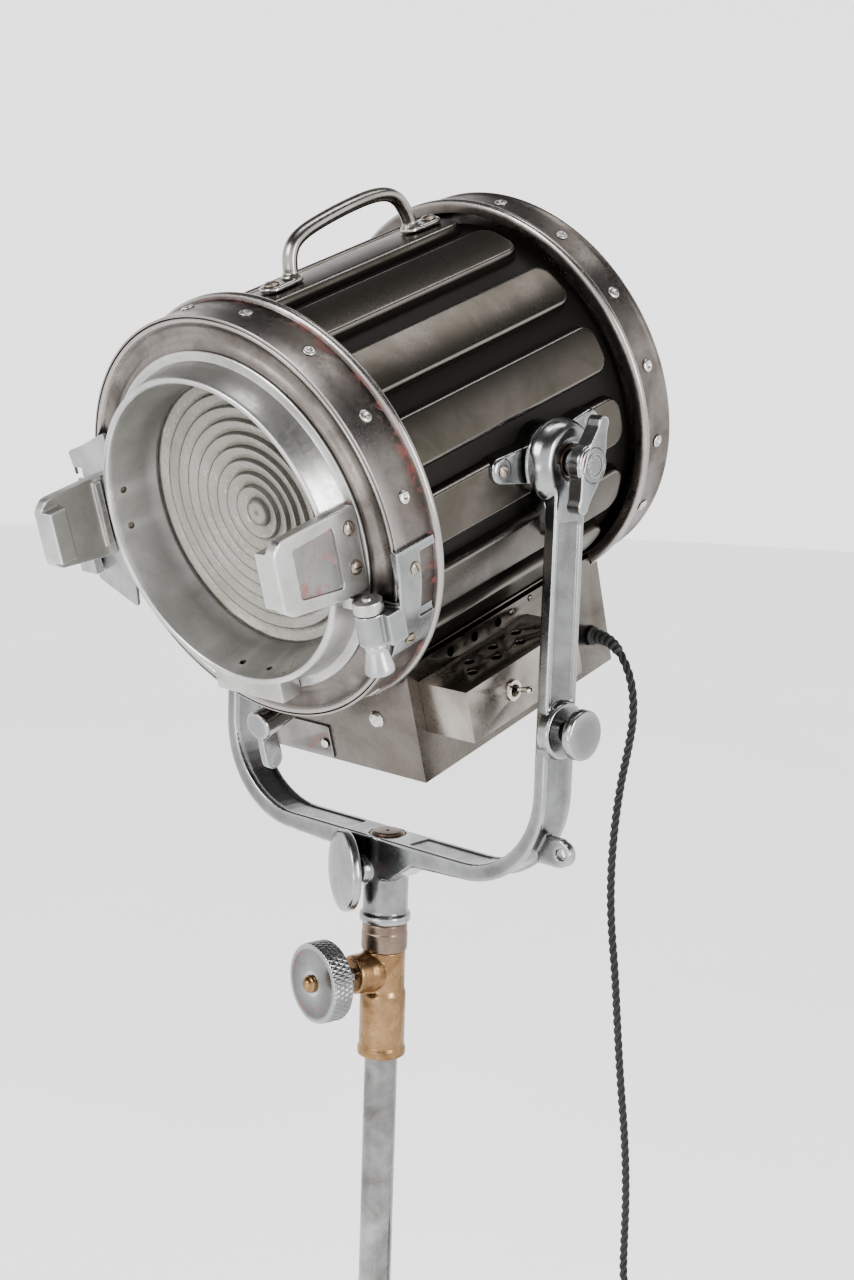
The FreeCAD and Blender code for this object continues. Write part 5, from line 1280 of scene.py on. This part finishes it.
def make_trunnions():
    for side, name, node in ((1, "right", "trunnion_right"), (-1, "left", "trunnion_left")):
        axis = "X" if side > 0 else "-X"
        boss = lathe([(150, 0), (150, 33.8), (180.6, 33.8), (181.9, 33.0), (182.4, 31.6), (182.4, 29.2),
                      (180.9, 28.4), (180.9, 27.0), (182.4, 26.2), (182.4, 21.4), (180.7, 20.4),
                      (180.7, 17.6), (182.3, 16.8), (182.3, 13.9), (202, 13.9), (202, 0)],
                     along_axis(axis), 96)
        shapes = [boss]
        for y, z in EARS:
            far = disc_points((side * 150, y, z), 12) + disc_points((side * 177.6, y, z), 12)
            far += disc_points((side * 179.2, y, z), 10.8)
            middle = Vector((y, z)) * 0.35
            near = disc_points((side * 150, middle.x, middle.y), 19)
            near += disc_points((side * 178.4, middle.x, middle.y), 17)
            shapes.append(hull(*(far + near)))
            shapes.append(lathe([(150, 0), (150, 9.4), (180.0, 9.4), (180.0, 0)],
                                place((0, y, z), axis), 40))
        room = rod(176.25, -200, 200, along_axis("Y"), 192)
        bore = rod(8.15, 140, 210, along_axis(axis))
        body = cast(shapes, 0.9, 4, [room, bore])
        piece("trunnion_casting_" + name, shade_recesses(body, 6, 6.0, -0.5), ALUMINIUM, "head", (node,),
              sharp=50)
    screws = []
    for side, axis in BOTH_SIDES:
        for index, (y, z) in enumerate(EARS):
            screws.append(moved(slotted_head(5.6, 2.6, 40 + 65 * index), place((side * 180.05, y, z),
                                                                              axis)))
    piece("trunnion_slotted_screws", joined(screws), SCREW_METAL, "head", ("trunnion_screws",), sharp=50)
    cap = lathe([(174, 0), (174, 7.2), (174.8, 7.9), (204.05, 7.9), (204.05, 16.2), (205, 17),
                 (211, 17), (213.4, 15.4), (215.2, 12.4), (215.9, 7), (216, 0)],
                along_axis("-X"), 96)
    slot = slab((-219, -13, -1.3), (-214.2, 13, 1.3))
    piece("left_pivot_slotted_cap", carved(cap, [slot]), ALUMINIUM, "head", ("left_pivot_cap",), sharp=45)


# ---- base box and switch box -----------------------------------------------------------------

RIVET_X = -20.6
RIVET_Z = -247
RIVET_AXIS = place((RIVET_X, 0, RIVET_Z), "Y")


def make_base_box():
    shell = softened("base_box", 1.2)
    wall = 99.9
    strips = [slab((side * wall - 0.6, -138, -151.5), (side * wall + 0.1, 120, -146.5))
              for side in (1, -1)]
    weld_rows = [lathe([(wall, 0), (wall, 1.6), (99.99, 0.9), (99.99, 0)], place((0, y, z), axis), 16)
                 for axis in ("X", "-X") for z in (-250, -236) for y in (-128, 120)]
    screws = [moved(slotted_head(3.2, 1.8, turn), place((99.95, y, z), "X"))
              for y, z, turn in ((4, -158, 20), (32, -156, 80), (24, -172, 140))]
    mesh = joined([shell] + [bevelled(strip, 0.2) for strip in strips] + weld_rows + screws)
    piece("base_box_folded_sheet", mesh, BOX_STEEL, "head", ("base_box",), sharp=35)
    screw = moved(slotted_head(8.4, 3.9, 30, 0.9), place((52, -140.05, -209), "-Y"))
    piece("base_dome_screw", screw, RIVET_METAL, "head", ("base_screw",), sharp=50)
    plate = bevelled(prism(rounded([(-83, -262), (-13, -262), (-13, -229), (-83, -229)], 2.5,
                                   closed=True), 0, 1.6), 0.4)
    upright = outline_xz(-141.65)
    plate = moved(plate, upright)
    hole = rod(2.6, -145, -135, RIVET_AXIS, 32)

    def red_ring(spot):
        return 1.0 if 3.0 < math.hypot(spot.x - RIVET_X, spot.z - RIVET_Z) < 7.5 else 0.0

    plate = carved(plate, [hole, lathe([(-142, 4.9), (-142, 6.6), (-141.3, 6.6), (-141.3, 4.9)],
                                       RIVET_AXIS, 40, closed=True)])
    piece("focus_index_plate", plate, PLATE_BROWN, "head", ("focus_plate",), sharp=35, paint=red_ring)
    rivet = lathe([(-142.2, 0), (-142.2, 2.4), (-143.05, 2.4), (-143.05, 4.5), (-143.7, 4.3),
                   (-144.4, 3.0), (-144.4, 1.9), (-143.8, 1.2), (-143.7, 0)],
                  RIVET_AXIS, 32)
    piece("index_plate_rivet", rivet, RIVET_METAL, "head", ("plate_rivet",), sharp=60)


def make_switch_box():
    shell = softened("switch_box", 1.4)
    lip = joined([slab((155.2, -126, -171.4), (155.98, 24, -170.2)),
                  slab((155.2, -126, -217.0), (155.98, 24, -215.8))])
    piece("switch_box_cover", joined([shell, lip]), SWITCH_STEEL, "head", ("switch_box",), sharp=35)
    switch_y = -69
    switch_z = -193
    at = place((0, switch_y, switch_z), "X")
    bush = lathe([(149.1, 3.3), (149.1, 5.9), (156.1, 5.9), (156.1, 9.3), (156.5, 9.45), (157.9, 9.45),
                  (158.2, 9.1), (158.2, 6.3), (158.9, 5.9), (158.95, 5.6), (156.0, 4.9)], at, 48,
                 closed=True)
    body = bevelled(slab((129.2, -82, -203), (148.9, -56, -183)), 1.0)
    piece("toggle_switch_bush", joined([bush, body]), CHROME, "head", ("toggle_switch",))
    pivot_x = 153
    pivot = Matrix.Translation((pivot_x * MM, switch_y * MM, switch_z * MM))
    lean = pivot @ Matrix.Rotation(math.radians(80), 4, "Y")
    bat = lathe([(-2.6, 0), (-2.0, 1.7), (0, 2.6), (2.0, 1.8), (6, 1.8), (18, 2.5), (20.4, 3.0),
                 (22.4, 3.15), (24.6, 2.6), (25.8, 1.4), (26.2, 0)], lean, 32)
    pin = rod(1.2, -3.2, 3.2, place((pivot_x, switch_y, switch_z), "Y"), 20)
    piece("toggle_bat", joined([bat, pin]), CHROME, "toggle", ("toggle_lever",), sharp=70)
    gland = lathe([(93.2, 4.45), (93.2, 6.7), (100.2, 6.7), (100.2, 8.6), (100.7, 9), (102.6, 9),
                   (103.1, 8.5), (103.3, 7.9), (106.6, 6.7), (107.05, 6.2), (107.05, 4.45)],
                  place((0, 109, -228), "X"), 48, closed=True)
    piece("cord_gland_grommet", gland, RUBBER, "head", ("cord_gland",), sharp=45)


# ---- focus drive and lamp --------------------------------------------------------------------

def make_focus_drive():
    at = place((-38, 0, -205), "-Y")
    hub = lathe([(151.1, 0), (151.1, 9.4), (153, 9.9), (190, 12.6), (200.5, 13.7), (202.8, 12.8),
                 (203, 11), (203, 0)], at, 64)
    fin = hull(*(disc_points((-41.9, -193, -241), 9.8) + disc_points((-34.1, -193, -241), 9.8)
                 + [(x, y, z) for x in (-41.2, -34.8) for y in (-202.6, -183.4) for z in (-206, -208)]))
    bore = rod(5.05, 140, 160, at)
    knob = cast([hub, fin], 0.8, 4, [bore])
    piece("focus_finned_knob", shade_recesses(knob, 5, 6.0, -0.5), ALUMINIUM, "focus_drive",
          ("focus_knob",), sharp=50)
    piece("focus_cam_drum", softened("focus_drum", 0.6), POLISHED, "focus_drive", ("focus_drum",))
    piece("focus_rear_bearing", softened("focus_bearing", 0.8), BOX_STEEL, "head", ("focus_bearing",))
    piece("focus_guide_rails", softened("focus_rails", 0.4), POLISHED, "head", ("focus_rails",))
    carriage = melted("focus_carriage", 1.5, 3)
    piece("focus_carriage_casting", shade_recesses(carriage, 5, 6.0, -0.4), ALUMINIUM, "lamp_carriage",
          ("focus_carriage",), sharp=50)


def make_lamp():
    lamp_y = -20
    at = place((0, lamp_y, 0))
    fins = [(-81.8, 0), (-81.8, 23.2), (-81, 24)]
    for ring in range(3):
        level = -78 + ring * 5
        fins += [(level, 24), (level + 0.6, 22.6), (level + 1.6, 22.6), (level + 2.2, 24)]
    fins += [(-62.6, 24), (-62, 23), (-62, 18), (-54.8, 18), (-54.1, 17), (-54.1, 0)]
    piece("lamp_ceramic_holder", lathe(fins, at, 64), CERAMIC, "lamp_carriage", ("lamp_holder",))
    glass = [(-36.5, 12.6), (-33, 14), (-27, 20), (-22, 26), (-16, 27), (22, 27), (34, 23.5),
             (42, 16), (46.6, 8), (48, 0)]
    wall = 1.1
    inner = [(along - (1.0 if along > 40 else 0), max(radius - wall, 0))
             for along, radius in reversed(glass)]
    piece("lamp_glass_envelope", lathe(glass + inner, at, 64), LAMP_GLASS, "lamp_carriage", ("lamp",),
          sharp=60)
    cap = lathe([(-53.9, 0), (-53.9, 12.8), (-50, 13), (-49.4, 12.4), (-45, 12.4), (-44.4, 13),
                 (-37, 13), (-36, 11.4), (-36, 0)], at, 48)
    piece("lamp_base_cap", cap, BRASS, "lamp_carriage", sharp=45)
    wires = [rod(0.5, -8, 14, place((x, lamp_y, 0)), 10) for x in (-9, -3, 3, 9)]
    wires += [rod(0.7, -36, -8, place((x, lamp_y, 0)), 10) for x in (-9, 9)]
    wires += [rod(0.5, -9.4, 9.4, place((0, lamp_y, level), "X"), 10) for level in (-8, 14)]
    piece("lamp_filament_grid", joined(wires), POLISHED, "lamp_carriage")
    piece("reflector_strap", softened("reflector_bracket", 0.6), BOX_STEEL, "lamp_carriage",
          ("reflector_bracket",))
    back_radius = 78
    outside = arc((0, 0), back_radius, 50.3, 0, 18)
    front_y = 55.7 - back_radius
    profile = [(front_y + x, y) for x, y in outside]
    inside = [(front_y + x - 0.15, y) for x, y in arc((0, 0), 76.1, 0, 51.8, 18)]
    rim = [(profile[0][0] - 1.0, 60.0), (profile[0][0] - 2.2, 59.4)]
    points = list(reversed(profile)) + rim + list(reversed(inside))
    piece("reflector_dish", lathe(points, BARREL_AXIS, 128), MIRROR, "lamp_carriage", ("reflector",),
          sharp=60)


# ---- lens door -------------------------------------------------------------------------------

CLIP_BOLT_Y = -219.5
CLIP_BOLT_HEIGHTS = (20, -14)
HINGE_X = 160
HINGE_Y = -224


def make_door():
    ring = [(-205.02, 131.1), (-205.02, 152.2), (-205.8, 153), (-207.3, 153), (-208, 152.3),
            (-208, 146.6), (-208.7, 145.0), (-210.4, 144.2), (-222, 141.6), (-230.6, 139.8),
            (-233.4, 139.1), (-234.6, 138.2), (-235, 136.8), (-234.9, 135.2), (-234.2, 134.0),
            (-232.6, 133.1), (-228, 132.0), (-200, 124.8), (-189, 122.1), (-187.4, 121.2),
            (-186.4, 121.0), (-184.6, 121.0), (-184.05, 121.4), (-184.05, 126.85), (-163.1, 126.85),
            (-163.1, 131.0)]
    body = lathe(ring, BARREL_AXIS, BIG_RING, closed=True)
    light_way = lathe([(-236.2, 0), (-236.2, 134.2), (-209, 127.2), (-209, 131.2), (-150, 131.2),
                       (-150, 0)], BARREL_AXIS, 192)
    lower = slab((-43.6, -231.6, -153.6), (39.6, -208, -114))
    ear = joined([rod(12.9, -50, -39.2, place((HINGE_X, HINGE_Y, 0)), 48),
                  slab((132.2, -227, -50), (160, -214.2, -39.2))])
    pads = [slab((x, -232.6, -35.6), (x + 24, -207.2, 35.6)) for x in (115.2, -139.2)]
    seats = [slab((139.35, -248.1, -38.5), (160, -208, 37.5)),
             slab((-160, -248.1, -38.5), (-139.35, -208, 37.5))]
    hinge_bore = rod(4.62, -70, -30, place((HINGE_X, HINGE_Y, 0)), 40)
    castings = cast([lower, ear] + pads, 1.1, 4, [light_way, hinge_bore] + seats)
    holes = []
    for axis in ("X", "-X"):
        holes += [rod(3.0, 100, 160, place((0, CLIP_BOLT_Y, z), axis), 28) for z in CLIP_BOLT_HEIGHTS]
    holes += [rod(3.0, 100, 160, place((x, CLIP_BOLT_Y, 0), "-Z"), 28) for x in (-17, 17)]
    body = carved(carved(body, seats), holes)
    castings = carved(castings, holes)
    mesh = joined([body, castings])
    piece("lens_door_casting", shade_recesses(mesh, 4, 3.0, -0.35), DOOR_ALUMINIUM, "lens_door",
          ("lens_door",))


def make_lens():
    front = -184.0
    profile = [(front + 15, 0), (front + 15, 126.2), (front + 0.3, 126.2), (front + 0.1, 121)]
    edge = 120.0
    rings = 9
    width = 12.0
    for index in range(rings):
        outer = edge - width * index
        for part in (0.0, 0.06, 0.08, 0.3, 0.5, 0.7, 0.88, 0.9, 1.0):
            sink = 0.2 + 4.6 * (part ** 1.35)
            profile.append((front + sink, outer - (width - 0.35) * part))
    profile += [(front + 0.55, 11.7), (front + 0.35, 8), (front + 0.15, 4), (front + 0.1, 0)]
    mesh = lathe(profile, None, 192)

    # Marks the ring risers, which the lens material darkens as painted shade.
    def riser(spot):
        radius = math.hypot(spot.x, spot.y)
        part = (edge - radius) / width % 1.0
        return 1.0 if radius < 121 and (part < 0.07 or part > 0.885) else 0.0

    piece("fresnel_lens_glass", mesh, LENS_GLASS, "lens_door", ("fresnel_lens",), sharp=30, paint=riser,
          matrix=HEAD @ BARREL_AXIS)
    ring = lathe([(front + 15.15, 119.3), (front + 15.15, 126.6), (front + 19, 126.6),
                  (front + 19, 119.3)], None, 192, closed=True)
    piece("lens_spring_ring", bevelled(ring, 0.3), BOX_STEEL, "lens_door", ("lens_retainer",),
          matrix=HEAD @ BARREL_AXIS)


def make_clips():
    outline = [(-208.3, -37.6), (-208.3, 36.6), (-236, 37.8), (-294, 37.8), (-302.8, 29.6),
               (-302.8, -19.8), (-294.6, -26.6), (-240, -36)]
    recess = [(-236, -26), (-236, 27), (-283, 26), (-283, -17)]
    for side, name in ((1, "right"), (-1, "left")):
        mirror = Matrix.Diagonal((side, 1, 1, 1))
        plate = moved(prism(rounded(outline, 4, closed=True), 139.5, 149.8), OUTLINE_YZ)
        lip = slab((127.3, -302.7, -18.6), (141, -284.4, 28.8))
        rail = slab((135.6, -243.2, -25.6), (141, -236, 33.6))
        pocket = moved(prism(rounded(recess, 4, closed=True), 147.2, 152), OUTLINE_YZ)
        bores = [rod(3.0, 100, 160, place((0, CLIP_BOLT_Y, z), "X"), 28) for z in CLIP_BOLT_HEIGHTS]
        body = cast([plate, lip, rail], 0.9, 4, [pocket] + bores)
        body = shade_recesses(body, 3, 4.5, -0.45)
        body.transform(mirror)
        if side < 0:
            body.flip_normals()
        piece("accessory_clip_casting_" + name, body, DOOR_ALUMINIUM, "lens_door",
              ("accessory_clip_" + name,), sharp=50)
    screws = []
    for side, axis in BOTH_SIDES:
        for index, z in enumerate(CLIP_BOLT_HEIGHTS):
            at = place((0, CLIP_BOLT_Y, z), axis)
            shank = lathe([(130.1, 0), (130.1, 1.2), (130.6, 1.9), (130.2, 2.4), (131, 2.85),
                           (151, 2.85), (151, 0)], at, 28)
            head = moved(slotted_head(6.4, 3, 15 + 70 * index),
                         place((side * 150.05, CLIP_BOLT_Y, z), axis))
            screws += [shank, head]
    piece("clip_slotted_screws", joined(screws), SCREW_METAL, "lens_door", ("clip_screws",), sharp=50)


def make_latch():
    outline = rounded([(-150, 68), (-187, 52), (-207, 45), (-199, 0), (-205, -80), (-158, -102),
                       (-150, -60)], 3, closed=True)
    upright = outline_xz(-211.45)
    plate = moved(prism(outline, 0, 3.4), upright)
    slot = slab((-203, -215, 19), (-193, -205, 30))
    ring = rod(144.1, -240, -200, BARREL_AXIS, 192)
    plate = bevelled(carved(plate, [slot, ring]), 0.5)
    piece("latch_plate_sheet", plate, PLATE_STEEL, "lens_door", ("latch_plate",), sharp=35)
    bracket = melted("catch_bracket", 0.7, 3)
    piece("catch_bracket_forged", shade_recesses(bracket, 4, 5.0, -0.5), PLATE_STEEL, "head",
          ("catch_bracket",), sharp=50)
    catch = melted("door_catch", 0.5, 3)
    piece("door_catch_lever", shade_recesses(catch, 4, 5.0, -0.5), PLATE_STEEL, "door_catch",
          ("door_catch",), sharp=50)


def make_hinge():
    bracket = melted("hinge_bracket", 0.8, 5)
    piece("hinge_bracket_casting", shade_recesses(bracket, 6, 6.0, -0.5), ALUMINIUM, "head",
          ("hinge_bracket",), sharp=50)
    at = place((HINGE_X, HINGE_Y, 0), "-Z")
    pin = lathe([(37.1, 0), (37.1, 3.9), (37.7, 4.45), (77.2, 4.45), (77.2, 8.6), (77.9, 9.1),
                 (80, 9.4), (82, 9.4), (82.6, 9.0), (84, 9.2), (98, 12.4), (100.8, 12.9), (102.6, 12.9),
                 (103.9, 11.8), (104.0, 9.8), (103.2, 8.6), (103.2, 0)], at, 64)
    slot = slab((140, -225.3, -106), (180, -222.7, -101.8))
    piece("hinge_pin_finial", shade_recesses(carved(pin, [slot]), 1, 3.0, -0.4), PLATE_STEEL, "head",
          ("hinge_pin",), sharp=45)
    heads = [moved(slotted_head(5.6, 2.2, turn), around_barrel(90 + angle, 187.55, -189.5))
             for angle, turn in ((6.6, 20), (28.0, 75))]
    piece("hinge_slotted_screws", joined(heads), SCREW_METAL, "head", ("hinge_screws",), sharp=50)


PLATE_BROWN = worn_metal("index_plate_steel", (0.32, 0.31, 0.30), (0.19, 0.18, 0.17), 0.22, 0.36,
                         paint="red")
HANDLE_STEEL = worn_metal("handle_steel", (0.36, 0.345, 0.325), (0.20, 0.185, 0.165), 0.15, 0.30,
                          paint="red", brushed=(0.5, 1.0, 0.5))
make_barrel()
make_bands()
make_end_plates()
make_handle()
make_trunnions()
make_base_box()
make_switch_box()
make_focus_drive()
make_lamp()
make_door()
make_lens()
make_clips()
make_latch()
make_hinge()
